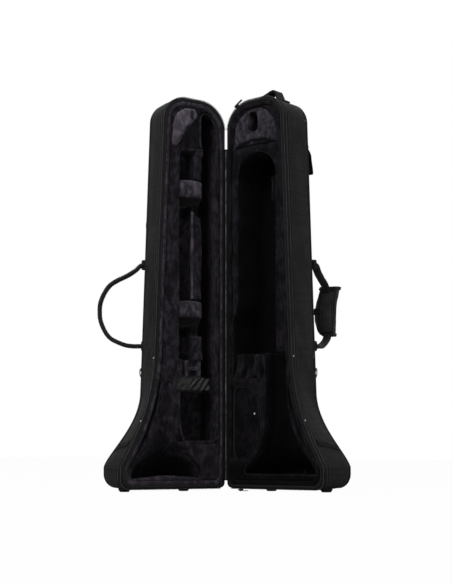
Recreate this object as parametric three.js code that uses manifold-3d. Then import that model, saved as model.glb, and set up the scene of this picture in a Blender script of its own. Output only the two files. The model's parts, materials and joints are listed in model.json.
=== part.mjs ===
// A soft-sided contoured trombone case, standing on its bell end and open like a book.
// Each half is drawn in its own frame: x runs from the hinge to the free edge, y runs from the
// rim back into the half's depth, and z is up. The bell half keeps that frame. The lid half is
// mirrored in y and turned about the hinge line, which is x = 0, y = 0.
import * as THREE from "three";
import { mergeVertices } from "three/addons/utils/BufferGeometryUtils.js";
import Module from "manifold-3d";

const wasm = await Module();
wasm.setup();

// Driving dimensions of the case, in millimetres
const crownHeight = 998; // floor to the top of the rim
const footHeight = 9;
const seatGap = 0.3; // between pieces that touch
const overrun = 20; // how far a cutter runs past what it cuts
const mergeTolerance = 1e-3;
const bellDepth = 130;
const lidDepth = 104;
const openAngle = THREE.MathUtils.degToRad(116); // between the two rims, as it stands
const hingeSideAt = 3; // hinge line to the hinge-side walls
const rimFront = 0.4; // hinge line to the front of the rims

// Outline of the rim
const rimBottomAt = 288;
const rimWaistAt = 197;
const rimWaistHeight = 353;
const flareFootRise = 8; // straight wall between the bottom corner and the flare
const rimFlareKnee = [203, 190];
const rimFlareHip = [262, 115];
const topAt = 175;
const archFreeRadius = 58;
const archHingeRadius = 75;
const archHingeDrop = 3; // the hinge-side shoulder lies this much below the crown
const rimFreeCorner = 22;
const rimHingeCorner = 13;

// Outline of the back, which flares later and more sharply
const backBottomAt = 297;
const backWaistAt = 198;
const backWaistHeight = 250;
const backFlareKnee = [199, 165];
const backFlareHip = [286, 98];
const backFreeCorner = 36;
const backHingeCorner = 34;
const backRound = 30; // radius of the edge between the walls and the back
const innerFreeCorner = 44; // corners of what lies inside the rim
const innerHingeCorner = 32;

// Walls
const coverThick = 2;
const frameThick = 4;
const tapeThick = 2;
const tapeWidth = 17;
const tapeHingeWidth = 9;
const liningFront = 5; // rim plane to the front of the lining
const liningLip = 24; // the front edge of the lining lies this far inside the outline
const liningShoulder = 17;
const liningRollDepth = 9;
const liningSettle = 34; // depth at which the lining meets the frame
const liningHingeShare = 0.4; // the lip's extra width on the hinge side, as a share of the rest
const chainRadius = 1.5;
const pipingRadius = 2.2;
const roundSteps = 3;
const arcSteps = 6;
const flareSteps = 8;
const cornerSteps = 4;
const archSteps = 5;
const blockSteps = 6;
const rollSteps = 2;
const pipingSides = 6;
const cornerReach = 2.2; // a rounded corner takes at most this part of the edge beside it
const miterFloor = 0.5; // keeps sharp corners from running far out when a line is inset
const hingeFacing = [0.5, 0.95]; // how far a wall faces the hinge when its inset starts and ends to change

// Bell seat, shared by the two halves
const bellAt = 158;
const bellInset = 12; // the bell's axis lies this far into the bell half
const bellSideSteps = 20;
// Radius of the round seat and the height above the floor, bottom to top
const bellSeat = [
  [109, 42],
  [108, 56],
  [96, 66],
  [72, 85],
  [55, 110],
  [42, 152],
  [33, 190],
  [27, 267],
  [25, 345],
];
// The channel's left and right edges where it opens to the front
const bellMouthLeft = [
  [46, 42],
  [46, 56],
  [64, 68],
  [95, 101],
  [113, 152],
  [117, 201],
  [116, 267],
  [118, 345],
];
const bellMouthRight = [
  [182, 345],
  [182, 267],
  [188, 200],
  [201, 152],
  [231, 110],
  [258, 68],
  [270, 56],
  [270, 42],
];
const bellMouthDepth = 44;
// The same bell, as the lid's own seat shows it
const lidBellAt = bellAt + 4;
const lidBellSeat = [
  [104, 27],
  [106, 35],
  [106, 45],
  [99, 62],
  [84, 78],
  [71, 91],
  [53, 116],
  [41, 150],
  [34, 188],
  [30, 229],
  [25, 270],
  [20, 286],
];

// Tuning slide cavity
const tuningLeft = 31;
const tuningRight = 152;
const tuningTop = crownHeight - 136;
const tuningArch = 52;
const tuningBottom = 345;
const tuningDepth = bellDepth - 16;
const tuningWideLeft = 14;
const tuningWideTop = 430;
const tuningWideRamp = 38;
const cavityRound = 8;

// Mouthpiece block, a half-round plush block at the top of the bell half
const mouthLeft = 21;
const mouthRight = 151;
const mouthBottom = crownHeight - 126;
const mouthBottomRise = 8;
const mouthTop = crownHeight - 22;
const mouthFront = 9;
const mouthBack = bellDepth - 56;
const mouthCrownShare = 0.5;
const slotAt = 80;
const slotBottom = crownHeight - 83;
const slotTop = crownHeight - 36;
const slotRadius = 9;
const slotTopRadius = 6;
const slotDepth = 48;

// Support block in the tuning slide cavity
const supportLeft = 93;
const supportBottom = 735;
const supportTop = 808;
const supportFront = 62;
const supportCorner = 9;

// Accessory box and its lid
const boxLeft = 24;
const boxRight = 98;
const boxBottom = 84;
const boxTop = 262;
const boxDepth = bellDepth - 38;
const boxRound = 24;
const boxLidMargin = 6; // the lid laps over the box by this much
const boxLidThick = 7;
const boxLidRoll = 3;
const boxLidGap = 0.8;
const boxLidFront = 6;
const boxSnapAt = 84;
const boxSnapHeight = 194;
const boxSnapRadius = 2.8;
const boxSnapTopShare = 0.8; // the top of the snap, as a share of its radius
const boxSnapSides = 14;
const boxSnapThick = 1.3;
// Corners of the box, as shares of its width and height
const boxCornerShares = [
  [0, 0],
  [0.45, 0],
  [0.86, 0.2],
  [1, 0.5],
  [0.94, 0.86],
  [0.5, 1],
  [0, 1],
];

// Draped divider between the tuning slide cavity and the accessory box
const drapeLeft = 16;
const drapeRight = 111;
const drapeBottom = 282;
const drapeFront = 11;
const drapeDepth = bellDepth - 48;
const drapeFolds = 3.5;
const drapeFoldHeight = 4;
const drapeSag = 9; // the drape's upper edge hangs back by this much in the middle
const drapeSteps = 24;
const drapeRows = 5;

// Slide channel and wells in the lid
const slideLeft = 25;
const slideRight = 62;
const slideBottom = 118;
const slideTop = crownHeight - 30;
const slideDepth = lidDepth - 42;
const bowDepth = lidDepth - 22;
const wellLeft = 84;
const wellRight = 133;
const wellTop = crownHeight - 132;
const wellBottom = 330;
const wellDepth = lidDepth - 46;
const gripLeft = 22;
const gripRight = 128;
const gripTop = 250;
const gripBottom = 124;
const gripDepth = lidDepth - 20;

// Raised rest blocks, wedge block, saddle and strap in the lid
const restUpperTop = 789;
const restUpperBottom = 720;
const restLowerTop = 480;
const restLowerBottom = 413;
const restFront = 6;
const restHeadBack = 34;
const restStemFront = 28;
const restSlant = 22; // the underside rises by this much towards the front
const ridgeFront = 15;
const restRoll = 4;
const restCorner = 9;
const undercut = 24;
const undercutDepth = lidDepth - 28;
const wedgeFront = 6.5;
const wedgeBack = lidDepth - 44;
// Corners of the wedge block, which lies along the free side and the arch
const wedgeCorners = [
  [134, crownHeight - 124],
  [150, crownHeight - 124],
  [150, crownHeight - 68],
  [139, crownHeight - 39],
  [117, crownHeight - 25],
  [84, crownHeight - 25],
  [79, crownHeight - 48],
];
// Corners of the cavity for the slide's bow
const bowCorners = [
  [20, wellTop],
  [71, wellTop],
  [71, crownHeight - 28],
  [50, crownHeight - 30],
  [29, crownHeight - 56],
  [20, crownHeight - 83],
];
const loopAt = 97;
const loopWidth = 9;
const loopTop = crownHeight - 30;
const loopLong = 22;
const loopThick = 2;
const saddleLeft = 66;
const saddleRight = 110;
const saddleTop = 328;
const saddleBottom = 288;
const saddleRail = 9;
const saddleFront = 10;
const saddleBack = 26;
const strapLeft = 44;
const strapRight = 138;
const strapTop = 284;
const strapBottom = 252;
const strapFront = 5.6;
const strapThick = 2.6;
const strapWave = 1.1;
const strapWaves = 3.5;
const strapSteps = 20;
const strapClear = 1.4;
const strapCorner = 4;

// Hinge web
const hingeTop = crownHeight - 122;
const hingeBottom = 26;
const leafThick = 1.4;
const leafInset = 0.3; // hinge line to the leaves
const leafFront = 0.2;

// Feet
const footRadius = 15;
const footTread = 11;
const footSides = 20;
const footFreeAt = 250;
const footHingeAt = 86;
const bellFootDepth = 78;
const lidFootDepth = 68;

// Carry handles
const handleTop = 576;
const handleSpan = 209;
const handleReach = 114;
const handleRadius = 6;
const handleSides = 8;
const eyeSides = 12;
const handleSteps = 30;
const handleEyeTall = 17;
const anchorTurn = THREE.MathUtils.degToRad(66); // how far round the back edge the anchors sit
const anchorSpread = THREE.MathUtils.degToRad(23); // half of the arc that an anchor covers
const anchorTall = 42;
const anchorThick = 3;
const patchGap = 0.6; // a patch is made of flats, so it stands off the round edge a little more
const anchorSteps = 5;
const lugWide = 11;
const lugTall = 4;
const lugClear = 0.6;
// Reach and height along the handle, as shares of its reach and of its span
const handlePathShares = [
  [0.0, 1.0],
  [0.09, 0.997],
  [0.2, 0.95],
  [0.36, 0.86],
  [0.62, 0.785],
  [0.84, 0.69],
  [0.97, 0.54],
  [1.0, 0.4],
  [0.95, 0.23],
  [0.78, 0.09],
  [0.5, 0.015],
  [0.12, 0.0],
  [0.0, 0.0],
];
const lidHandleLean = THREE.MathUtils.degToRad(62);
const bellHandleLean = THREE.MathUtils.degToRad(-12);

// Padded handle wrap
const wrapTall = 128;
const wrapWide = 66;
const wrapAside = 7; // the wrap hangs this much towards the hinge side
const wrapThick = 27;
const wrapCorner = 11;
const wrapBevel = 4;
const wrapClearance = 0.4;
const wrapCentreShare = 0.46;
const wrapReachShare = 0.93;

// Grab handle on top of the bell half
const grabWide = 36;
const grabThick = 4;
const grabBack = 62;
// Distance from the hinge line and height over the crown, end to end
const grabPath = [
  [36, -13],
  [47, -6.6],
  [60, 0.4],
  [76, 8],
  [94, 16],
  [111, 23],
  [120, 22],
  [125, 13],
  [131, 2.6],
  [142, -2.4],
  [153, -9],
];
const grabSteps = 30;

// Pockets on the backs
const pocketLeft = 36;
const pocketWall = 2;
const bellPocketTop = crownHeight - 138;
const bellPocketRight = 166;
const bellPocketBottom = 612;
const bellPocketThick = 9.6;
const flapRoot = 14; // height of the flap's strip above the pocket's mouth
const flapTall = 60;
const flapLip = 22;
const flapTopThick = 14;
const lidPocketRight = 172;
const lidPocketTop = 716;
const lidPocketBottom = 604;
const lidPocketThick = 8;
const lidPocketMouth = 14;
const lidPocketBulge = 26;
const lidPocketPeak = 682;
const lidPocketEase = 630;

// Strap rings
const ringHeight = 306;
const ringTurn = THREE.MathUtils.degToRad(50); // how far round the back edge the rings sit
const ringWire = 1.6;
const ringWide = 26;
const ringDrop = 20;
const ringSides = 6;
const ringTension = 0.3;
// The ring's path, as shares of its half width and its drop
const ringPathShares = [
  [-1, 0],
  [0, 0],
  [1, 0],
  [1, 0.35],
  [0.66, 0.85],
  [0, 1],
  [-0.66, 0.85],
  [-1, 0.35],
];
const ringSteps = 20;
const ringTabTall = 30;
const ringTabSpread = THREE.MathUtils.degToRad(13);
const ringEarRadius = 4.2;
const ringEarLong = 14;
const ringClear = 0.5;

// Zip sliders and pulls
const sliderLong = 13;
const sliderWide = 9.4;
const sliderThick = 2.2;
const sliderLip = 1.2;
const sliderRise = 3;
const sliderGap = 0.5;
const sliderLowerAt = 44;
const sliderUpperTurn = THREE.MathUtils.degToRad(125);
const pullLong = 26;
const pullWide = 7;
const pullThick = 1.2;
const pullSides = 6;

// Colours
const nylon = { color: 0x2c2c2e, roughness: 0.85, metalness: 0 };
const binding = { color: 0x1d1d1f, roughness: 0.7, metalness: 0 };
const plush = { color: 0x35313a, roughness: 1, metalness: 0 };
const board = { color: 0x24201c, roughness: 0.9, metalness: 0 };
const rubber = { color: 0x141414, roughness: 0.8, metalness: 0 };
const steel = { color: 0xa8a8aa, roughness: 0.3, metalness: 1 };
const blackMetal = { color: 0x1a1a1c, roughness: 0.4, metalness: 1 };

const caseGroup = new THREE.Group();
const lidGroup = new THREE.Group();
caseGroup.add(lidGroup);
lidGroup.rotation.z = -openAngle;

// Solid geometry

// One vertex for each place, and no triangle that has lost its width
function weld(geometry) {
  const plain = geometry.clone();
  plain.deleteAttribute("normal");
  plain.deleteAttribute("uv");
  const welded = mergeVertices(plain, mergeTolerance);
  const index = welded.index.array;
  const kept = [];
  for (let i = 0; i < index.length; i += 3) {
    const [a, b, c] = [index[i], index[i + 1], index[i + 2]];
    if (a !== b && b !== c && c !== a) kept.push(a, b, c);
  }
  welded.setIndex(kept);
  return welded;
}

function solidOf(geometry) {
  const welded = weld(geometry);
  return new wasm.Manifold(
    new wasm.Mesh({
      numProp: 3,
      vertProperties: new Float32Array(welded.attributes.position.array),
      triVerts: new Uint32Array(welded.index.array),
    }),
  );
}

function geometryOf(solid) {
  const mesh = solid.getMesh();
  const geometry = new THREE.BufferGeometry();
  geometry.setAttribute("position", new THREE.BufferAttribute(mesh.vertProperties, 3));
  geometry.setIndex(new THREE.BufferAttribute(mesh.triVerts, 1));
  return geometry;
}

function cut(geometry, ...tools) {
  let solid = solidOf(geometry);
  for (const tool of tools) solid = solid.subtract(solidOf(tool));
  return geometryOf(solid);
}

function join(geometry, ...others) {
  let solid = solidOf(geometry);
  for (const other of others) solid = solid.add(solidOf(other));
  return geometryOf(solid);
}

// A skin through rings of equal count. The first and last ring are capped, or meet in a loop.
function loft(rings, loop = false) {
  const count = rings[0].length;
  const faces = [];
  const bands = loop ? rings.length : rings.length - 1;
  for (let band = 0; band < bands; band++) {
    const here = band * count;
    const there = ((band + 1) % rings.length) * count;
    for (let i = 0; i < count; i++) {
      const j = (i + 1) % count;
      faces.push(here + i, there + i, here + j);
      faces.push(here + j, there + i, there + j);
    }
  }
  if (!loop) {
    const first = THREE.ShapeUtils.triangulateShape(flat(rings[0]), []);
    const last = THREE.ShapeUtils.triangulateShape(flat(rings.at(-1)), []);
    const lastAt = (rings.length - 1) * count;
    for (const [a, b, c] of first) faces.push(a, b, c);
    for (const [a, b, c] of last) faces.push(lastAt + a, lastAt + c, lastAt + b);
  }
  const geometry = new THREE.BufferGeometry();
  const positions = new Float32Array(rings.flat().flatMap((p) => [p.x, p.y, p.z]));
  geometry.setAttribute("position", new THREE.BufferAttribute(positions, 3));
  geometry.setIndex(faces);
  return geometry;
}

function flat(ring) {
  return ring.map((p) => new THREE.Vector2(p.x, p.z));
}

function atDepth(points, depth) {
  return points.map((p) => new THREE.Vector3(p.x, depth, p.y));
}

// A prism of a shape drawn in x and z, between two depths
function prism(shape, front, back, curveSegments = cornerSteps) {
  const options = { depth: back - front, bevelEnabled: false, curveSegments };
  const geometry = new THREE.ExtrudeGeometry(shape, options);
  geometry.rotateX(Math.PI / 2);
  geometry.translate(0, back, 0);
  return geometry;
}

// A pad of a shape drawn in x and z: a prism whose front edge is rolled over
function pad(shape, front, back, roll, curveSegments = cornerSteps) {
  const options = {
    depth: back - front - roll,
    bevelEnabled: true,
    bevelThickness: roll,
    bevelSize: roll,
    bevelOffset: -roll,
    bevelSegments: rollSteps,
    curveSegments,
  };
  const rolled = new THREE.ExtrudeGeometry(shape, options);
  rolled.rotateX(Math.PI / 2);
  rolled.translate(0, back, 0);
  const square = prism(shape, front + roll, back, curveSegments);
  const trim = slab(shape, back, back + overrun);
  return cut(join(rolled, square), trim);
}

function slab(shape, front, back) {
  const box = new THREE.Box2().setFromPoints(shape.getPoints());
  box.expandByScalar(overrun);
  const size = box.getSize(new THREE.Vector2());
  const centre = box.getCenter(new THREE.Vector2());
  const geometry = new THREE.BoxGeometry(size.x, back - front, size.y);
  geometry.translate(centre.x, (front + back) / 2, centre.y);
  return geometry;
}

// A polygon drawn in x and z with every corner rounded
function rounded(corners, radius) {
  const points = corners.map(([x, z]) => new THREE.Vector2(x, z));
  const shape = new THREE.Shape();
  points.forEach((corner, i) => {
    const before = points[(i + points.length - 1) % points.length];
    const after = points[(i + 1) % points.length];
    const reachIn = Math.min(radius, corner.distanceTo(before) / cornerReach);
    const reachOut = Math.min(radius, corner.distanceTo(after) / cornerReach);
    const from = corner.clone().lerp(before, reachIn / corner.distanceTo(before));
    const to = corner.clone().lerp(after, reachOut / corner.distanceTo(after));
    if (i === 0) shape.moveTo(from.x, from.y);
    else shape.lineTo(from.x, from.y);
    shape.quadraticCurveTo(corner.x, corner.y, to.x, to.y);
  });
  shape.closePath();
  return shape;
}

function rectangle(left, right, bottom, top, radius) {
  const corners = [
    [left, bottom],
    [right, bottom],
    [right, top],
    [left, top],
  ];
  return rounded(corners, radius);
}

// A tube of round section along a curve
function tube(curve, radius, sides, steps) {
  const section = new THREE.Shape();
  for (let i = 0; i < sides; i++) {
    const turn = ((i + 0.5) / sides) * 2 * Math.PI;
    const x = radius * Math.cos(turn);
    const y = radius * Math.sin(turn);
    if (i === 0) section.moveTo(x, y);
    else section.lineTo(x, y);
  }
  section.closePath();
  return new THREE.ExtrudeGeometry(section, { extrudePath: curve, steps, bevelEnabled: false });
}

// A strap: a band of even thickness whose centre line is drawn in x and z, wide in y
function strap(points, thick, front, back, steps) {
  const line = new THREE.CatmullRomCurve3(points.map(([x, z]) => new THREE.Vector3(x, 0, z)));
  const upper = [];
  const lower = [];
  for (let i = 0; i <= steps; i++) {
    const at = line.getPoint(i / steps);
    const along = line.getTangent(i / steps);
    upper.push(new THREE.Vector2(at.x - (along.z * thick) / 2, at.z + (along.x * thick) / 2));
    lower.push(new THREE.Vector2(at.x + (along.z * thick) / 2, at.z - (along.x * thick) / 2));
  }
  return prism(new THREE.Shape([...lower, ...upper.reverse()]), front, back);
}

function addTo(group, name, geometry, look) {
  const made = geometry;
  made.deleteAttribute("normal");
  made.computeVertexNormals();
  const mesh = new THREE.Mesh(made, new THREE.MeshStandardMaterial(look));
  mesh.name = name;
  group.add(mesh);
  return mesh;
}

// The lid's frame is the bell half's mirrored in y, so its pieces are mirrored before they are placed
function mirrored(geometry) {
  const flipped = weld(geometry.clone());
  flipped.scale(1, -1, 1);
  const index = flipped.index.array;
  for (let i = 0; i < index.length; i += 3) {
    const second = index[i + 1];
    index[i + 1] = index[i + 2];
    index[i + 2] = second;
  }
  return flipped;
}

function addBell(name, geometry, look) {
  return addTo(caseGroup, name, geometry, look);
}

function addLid(name, geometry, look) {
  return addTo(lidGroup, name, mirrored(geometry), look);
}

// The outline of a half, counterclockwise seen from the rim

const floorOfShell = footHeight + seatGap;
const flareFoot = floorOfShell + Math.max(rimFreeCorner, backFreeCorner, innerFreeCorner) + flareFootRise;

function outlinePoints(bottomAt, waistAt, waistHeight, knee, hip, freeCorner, hingeCorner) {
  const shape = new THREE.Shape();
  const quarter = Math.PI / 2;
  const freeSpring = crownHeight - archFreeRadius;
  const hingeSpring = crownHeight - archHingeDrop - archHingeRadius;
  shape.moveTo(hingeSideAt + hingeCorner, floorOfShell);
  shape.lineTo(bottomAt - freeCorner, floorOfShell);
  shape.absarc(bottomAt - freeCorner, floorOfShell + freeCorner, freeCorner, -quarter, 0, false);
  shape.lineTo(bottomAt, flareFoot);
  shape.bezierCurveTo(hip[0], hip[1], knee[0], knee[1], waistAt, waistHeight);
  shape.lineTo(topAt, freeSpring);
  shape.absarc(topAt - archFreeRadius, freeSpring, archFreeRadius, 0, quarter, false);
  shape.lineTo(hingeSideAt + archHingeRadius, crownHeight - archHingeDrop);
  shape.absarc(hingeSideAt + archHingeRadius, hingeSpring, archHingeRadius, quarter, Math.PI, false);
  shape.lineTo(hingeSideAt, floorOfShell + hingeCorner);
  shape.absarc(
    hingeSideAt + hingeCorner,
    floorOfShell + hingeCorner,
    hingeCorner,
    Math.PI,
    3 * quarter,
    false,
  );
  const points = [];
  // An arc that starts where the last stretch ended leaves a line of no length, which is passed over
  for (const curve of shape.curves.filter((each) => each.getLength() > mergeTolerance)) {
    let steps = 1;
    if (curve.isEllipseCurve) steps = arcSteps;
    if (curve.isCubicBezierCurve) steps = flareSteps;
    points.push(...curve.getPoints(steps).slice(0, -1));
  }
  return points;
}

function outwardAt(points, i) {
  const before = points[(i + points.length - 1) % points.length];
  const after = points[(i + 1) % points.length];
  const arriving = points[i].clone().sub(before).normalize();
  const leaving = after.clone().sub(points[i]).normalize();
  const normal = new THREE.Vector2(arriving.y + leaving.y, -arriving.x - leaving.x).normalize();
  const stretch = 1 / Math.max(miterFloor, normal.dot(new THREE.Vector2(arriving.y, -arriving.x)));
  return { normal, stretch };
}

// The outline moved inwards. The distance may differ on the hinge side.
function inset(points, distance, hingeDistance = distance) {
  return points.map((p, i) => {
    const { normal, stretch } = outwardAt(points, i);
    const towardsHinge = THREE.MathUtils.smoothstep(-normal.x, ...hingeFacing);
    const amount = THREE.MathUtils.lerp(distance, hingeDistance, towardsHinge);
    return p.clone().addScaledVector(normal, -amount * stretch);
  });
}

const rimOutline = outlinePoints(
  rimBottomAt,
  rimWaistAt,
  rimWaistHeight,
  rimFlareKnee,
  rimFlareHip,
  rimFreeCorner,
  rimHingeCorner,
);
const backOutline = outlinePoints(
  backBottomAt,
  backWaistAt,
  backWaistHeight,
  backFlareKnee,
  backFlareHip,
  backFreeCorner,
  backHingeCorner,
);

// The outline of what lies inside the rim, with roomier corners
const innerOutline = outlinePoints(
  rimBottomAt,
  rimWaistAt,
  rimWaistHeight,
  rimFlareKnee,
  rimFlareHip,
  innerFreeCorner,
  innerHingeCorner,
);

function outlineAt(depth, y, rim = rimOutline) {
  const share = THREE.MathUtils.clamp(y / (depth - backRound), 0, 1);
  return rim.map((p, i) => p.clone().lerp(backOutline[i], share));
}

// Rings from the rim to the back of a half, at a given distance inside its outer surface
function shellRings(depth, skin, front) {
  const straight = depth - backRound;
  const round = backRound - skin;
  const rings = [front, liningSettle, straight].map((y) => atDepth(inset(outlineAt(depth, y), skin), y));
  for (let step = 1; step <= roundSteps; step++) {
    const turn = (step / roundSteps) * (Math.PI / 2);
    const pulledIn = skin + round * (1 - Math.cos(turn));
    rings.push(atDepth(inset(backOutline, pulledIn), straight + round * Math.sin(turn)));
  }
  return rings;
}

// An open shell: both of its surfaces run the same way, so that nested shells keep an even gap
function cup(depth, outerSkin, thick, front) {
  const inner = shellRings(depth, outerSkin + thick, front);
  const mouth = inner[0].map((p) => p.clone().setY(front - overrun));
  return cut(loft(shellRings(depth, outerSkin, front)), loft([mouth, ...inner]));
}

const frameFront = rimFront + tapeThick + seatGap;
const frameSkin = coverThick + seatGap;
const liningSkin = frameSkin + frameThick + seatGap;

// The plush block that fills a half, with its front edge rolled over
function liningBlock(depth) {
  const rolls = [
    [liningFront, liningLip],
    [liningFront + liningRollDepth / 3, liningShoulder + 2 * seatGap],
    [liningFront + liningRollDepth, liningShoulder],
    [liningSettle, liningSkin],
  ];
  const rings = rolls.map(([y, skin]) => {
    const hingeSkin = THREE.MathUtils.lerp(liningSkin, skin, liningHingeShare);
    return atDepth(inset(outlineAt(depth, y, innerOutline), skin, hingeSkin), y);
  });
  return loft([...rings, ...shellRings(depth, liningSkin, frameFront).slice(2)]);
}

function rimTape() {
  const outer = inset(rimOutline, seatGap);
  const inner = inset(innerOutline, tapeWidth, tapeHingeWidth);
  const back = rimFront + tapeThick;
  const rings = [outer, outer, inner, inner];
  const depths = [rimFront, back, back, rimFront];
  return loft(
    rings.map((points, i) => atDepth(points, depths[i])),
    true,
  );
}

// The chain runs round the free side only, from the foot of the hinge to its top
function zipChain() {
  const outer = inset(rimOutline, -chainRadius - seatGap);
  const hingeSideEnd = arcSteps + 1;
  const path = outer.slice(0, outer.length - hingeSideEnd);
  const points = path.map((p) => new THREE.Vector3(p.x, rimFront + chainRadius, p.y));
  return ribbon(points, chainRadius);
}

// A square-section bead along points that lie in one plane of constant y
function ribbon(points, radius) {
  const rings = points.map((p, i) => {
    const before = points[Math.max(0, i - 1)];
    const after = points[Math.min(points.length - 1, i + 1)];
    const along = after.clone().sub(before).normalize();
    const outward = new THREE.Vector3(along.z, 0, -along.x).multiplyScalar(radius);
    const deeper = new THREE.Vector3(0, radius, 0);
    return [
      p.clone().add(outward),
      p.clone().add(deeper),
      p.clone().sub(outward),
      p.clone().sub(deeper),
    ];
  });
  return skinOf(rings);
}

// A skin over sections that may face any way, with a fan over each end
function skinOf(rings, loop = false) {
  const count = rings[0].length;
  const positions = rings.flat();
  const faces = [];
  const bands = loop ? rings.length : rings.length - 1;
  for (let band = 0; band < bands; band++) {
    const here = band * count;
    const there = ((band + 1) % rings.length) * count;
    for (let i = 0; i < count; i++) {
      const j = (i + 1) % count;
      faces.push(here + i, here + j, there + i);
      faces.push(here + j, there + j, there + i);
    }
  }
  if (!loop) {
    const lastAt = (rings.length - 1) * count;
    for (let i = 1; i < count - 1; i++) {
      faces.push(0, i + 1, i);
      faces.push(lastAt, lastAt + i, lastAt + i + 1);
    }
  }
  const geometry = new THREE.BufferGeometry();
  const numbers = new Float32Array(positions.flatMap((p) => [p.x, p.y, p.z]));
  geometry.setAttribute("position", new THREE.BufferAttribute(numbers, 3));
  geometry.setIndex(faces);
  if (solidOf(geometry).volume() < 0) geometry.setIndex(faces.toReversed());
  return geometry;
}

// Piping stands proud where the walls roll over to the back
function piping(depth) {
  const straight = depth - backRound;
  const turn = Math.PI / 2 / roundSteps;
  const out = backRound + pipingRadius + seatGap;
  const skin = backRound - out * Math.cos(turn);
  const y = straight + out * Math.sin(turn);
  const path = inset(backOutline, skin);
  const rings = path.map((p, i) => {
    const { normal } = outwardAt(path, i);
    const section = [];
    for (let side = 0; side < pipingSides; side++) {
      const angle = (side / pipingSides) * 2 * Math.PI;
      const aside = pipingRadius * Math.cos(angle);
      const deep = pipingRadius * Math.sin(angle);
      section.push(new THREE.Vector3(p.x + normal.x * aside, y + deep, p.y + normal.y * aside));
    }
    return section;
  });
  return skinOf(rings, true);
}

function hingeLeaf() {
  const wide = hingeSideAt - seatGap - leafInset;
  const leaf = new THREE.BoxGeometry(wide, leafThick, hingeTop - hingeBottom);
  leaf.translate(leafInset + wide / 2, leafFront + leafThick / 2, (hingeTop + hingeBottom) / 2);
  return leaf;
}

function foot(x, y) {
  const profile = [
    [0, 0],
    [footTread, 0],
    [footRadius, footHeight / 2],
    [footRadius, footHeight],
    [0, footHeight],
  ];
  const geometry = new THREE.LatheGeometry(
    profile.map(([r, h]) => new THREE.Vector2(r, h)),
    footSides,
  );
  geometry.rotateX(Math.PI / 2);
  geometry.translate(x, y, 0);
  return geometry;
}

// Cavities of the bell half

function latheAbout(profile, x, y) {
  const closed = [[0, profile[0][1]], ...profile, [0, profile.at(-1)[1]]];
  const geometry = new THREE.LatheGeometry(
    closed.map(([r, h]) => new THREE.Vector2(r, h)),
    bellSideSteps,
  );
  geometry.rotateX(Math.PI / 2);
  geometry.translate(x, y, 0);
  return geometry;
}

function bellChannel() {
  const mouth = new THREE.Shape();
  const edge = [...bellMouthLeft, ...bellMouthRight];
  edge.forEach(([x, z], i) => (i === 0 ? mouth.moveTo(x, z) : mouth.lineTo(x, z)));
  mouth.closePath();
  const open = prism(mouth, liningFront - overrun, bellMouthDepth);
  return join(latheAbout(bellSeat, bellAt, bellInset), open);
}

function tuningCavity() {
  const shape = new THREE.Shape();
  const arch = Math.min(tuningArch, (tuningRight - tuningLeft) / 2);
  shape.moveTo(tuningWideLeft, tuningBottom);
  shape.lineTo(tuningRight, tuningBottom);
  shape.lineTo(tuningRight, tuningTop - arch);
  shape.absarc(tuningRight - arch, tuningTop - arch, arch, 0, Math.PI / 2, false);
  shape.lineTo(tuningLeft + arch, tuningTop);
  shape.absarc(tuningLeft + arch, tuningTop - arch, arch, Math.PI / 2, Math.PI, false);
  shape.lineTo(tuningLeft, tuningWideTop + tuningWideRamp);
  shape.lineTo(tuningWideLeft, tuningWideTop);
  shape.closePath();
  return prism(shape, liningFront - overrun, tuningDepth, archSteps);
}

function mouthShape(margin) {
  const left = mouthLeft - margin;
  const right = mouthRight + margin;
  const top = mouthTop + margin;
  const radius = (right - left) * mouthCrownShare;
  const shape = new THREE.Shape();
  shape.moveTo(left, mouthBottom - margin);
  shape.lineTo(right, mouthBottom + mouthBottomRise - margin);
  shape.lineTo(right, top - radius);
  shape.absarc(right - radius, top - radius, radius, 0, Math.PI, false);
  shape.closePath();
  return shape;
}

function mouthpieceBlock() {
  const slot = new THREE.Shape();
  slot.absarc(slotAt, slotBottom + slotRadius, slotRadius, Math.PI, 2 * Math.PI, false);
  slot.absarc(slotAt, slotTop - slotTopRadius, slotTopRadius, 0, Math.PI, false);
  slot.closePath();
  const block = pad(mouthShape(0), mouthFront, mouthBack, liningRollDepth / 2, blockSteps);
  return cut(block, prism(slot, mouthFront - overrun, mouthFront + slotDepth));
}

function grown(corners, margin) {
  const points = corners.map(([x, z]) => new THREE.Vector2(x, z));
  return inset(points, -margin).map((p) => [p.x, p.y]);
}

function boxShape(margin) {
  const corners = boxCornerShares.map(([across, up]) => [
    THREE.MathUtils.lerp(boxLeft, boxRight, across),
    THREE.MathUtils.lerp(boxBottom, boxTop, up),
  ]);
  return rounded(grown(corners, margin), boxRound);
}

function accessoryLid() {
  return pad(boxShape(boxLidMargin), boxLidFront, boxLidFront + boxLidThick, boxLidRoll);
}

function accessorySnap() {
  const snap = new THREE.CylinderGeometry(
    boxSnapRadius * boxSnapTopShare,
    boxSnapRadius,
    boxSnapThick,
    boxSnapSides,
  );
  snap.rotateX(Math.PI);
  snap.translate(boxSnapAt, boxLidFront - seatGap - boxSnapThick / 2, boxSnapHeight);
  return snap;
}

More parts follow.
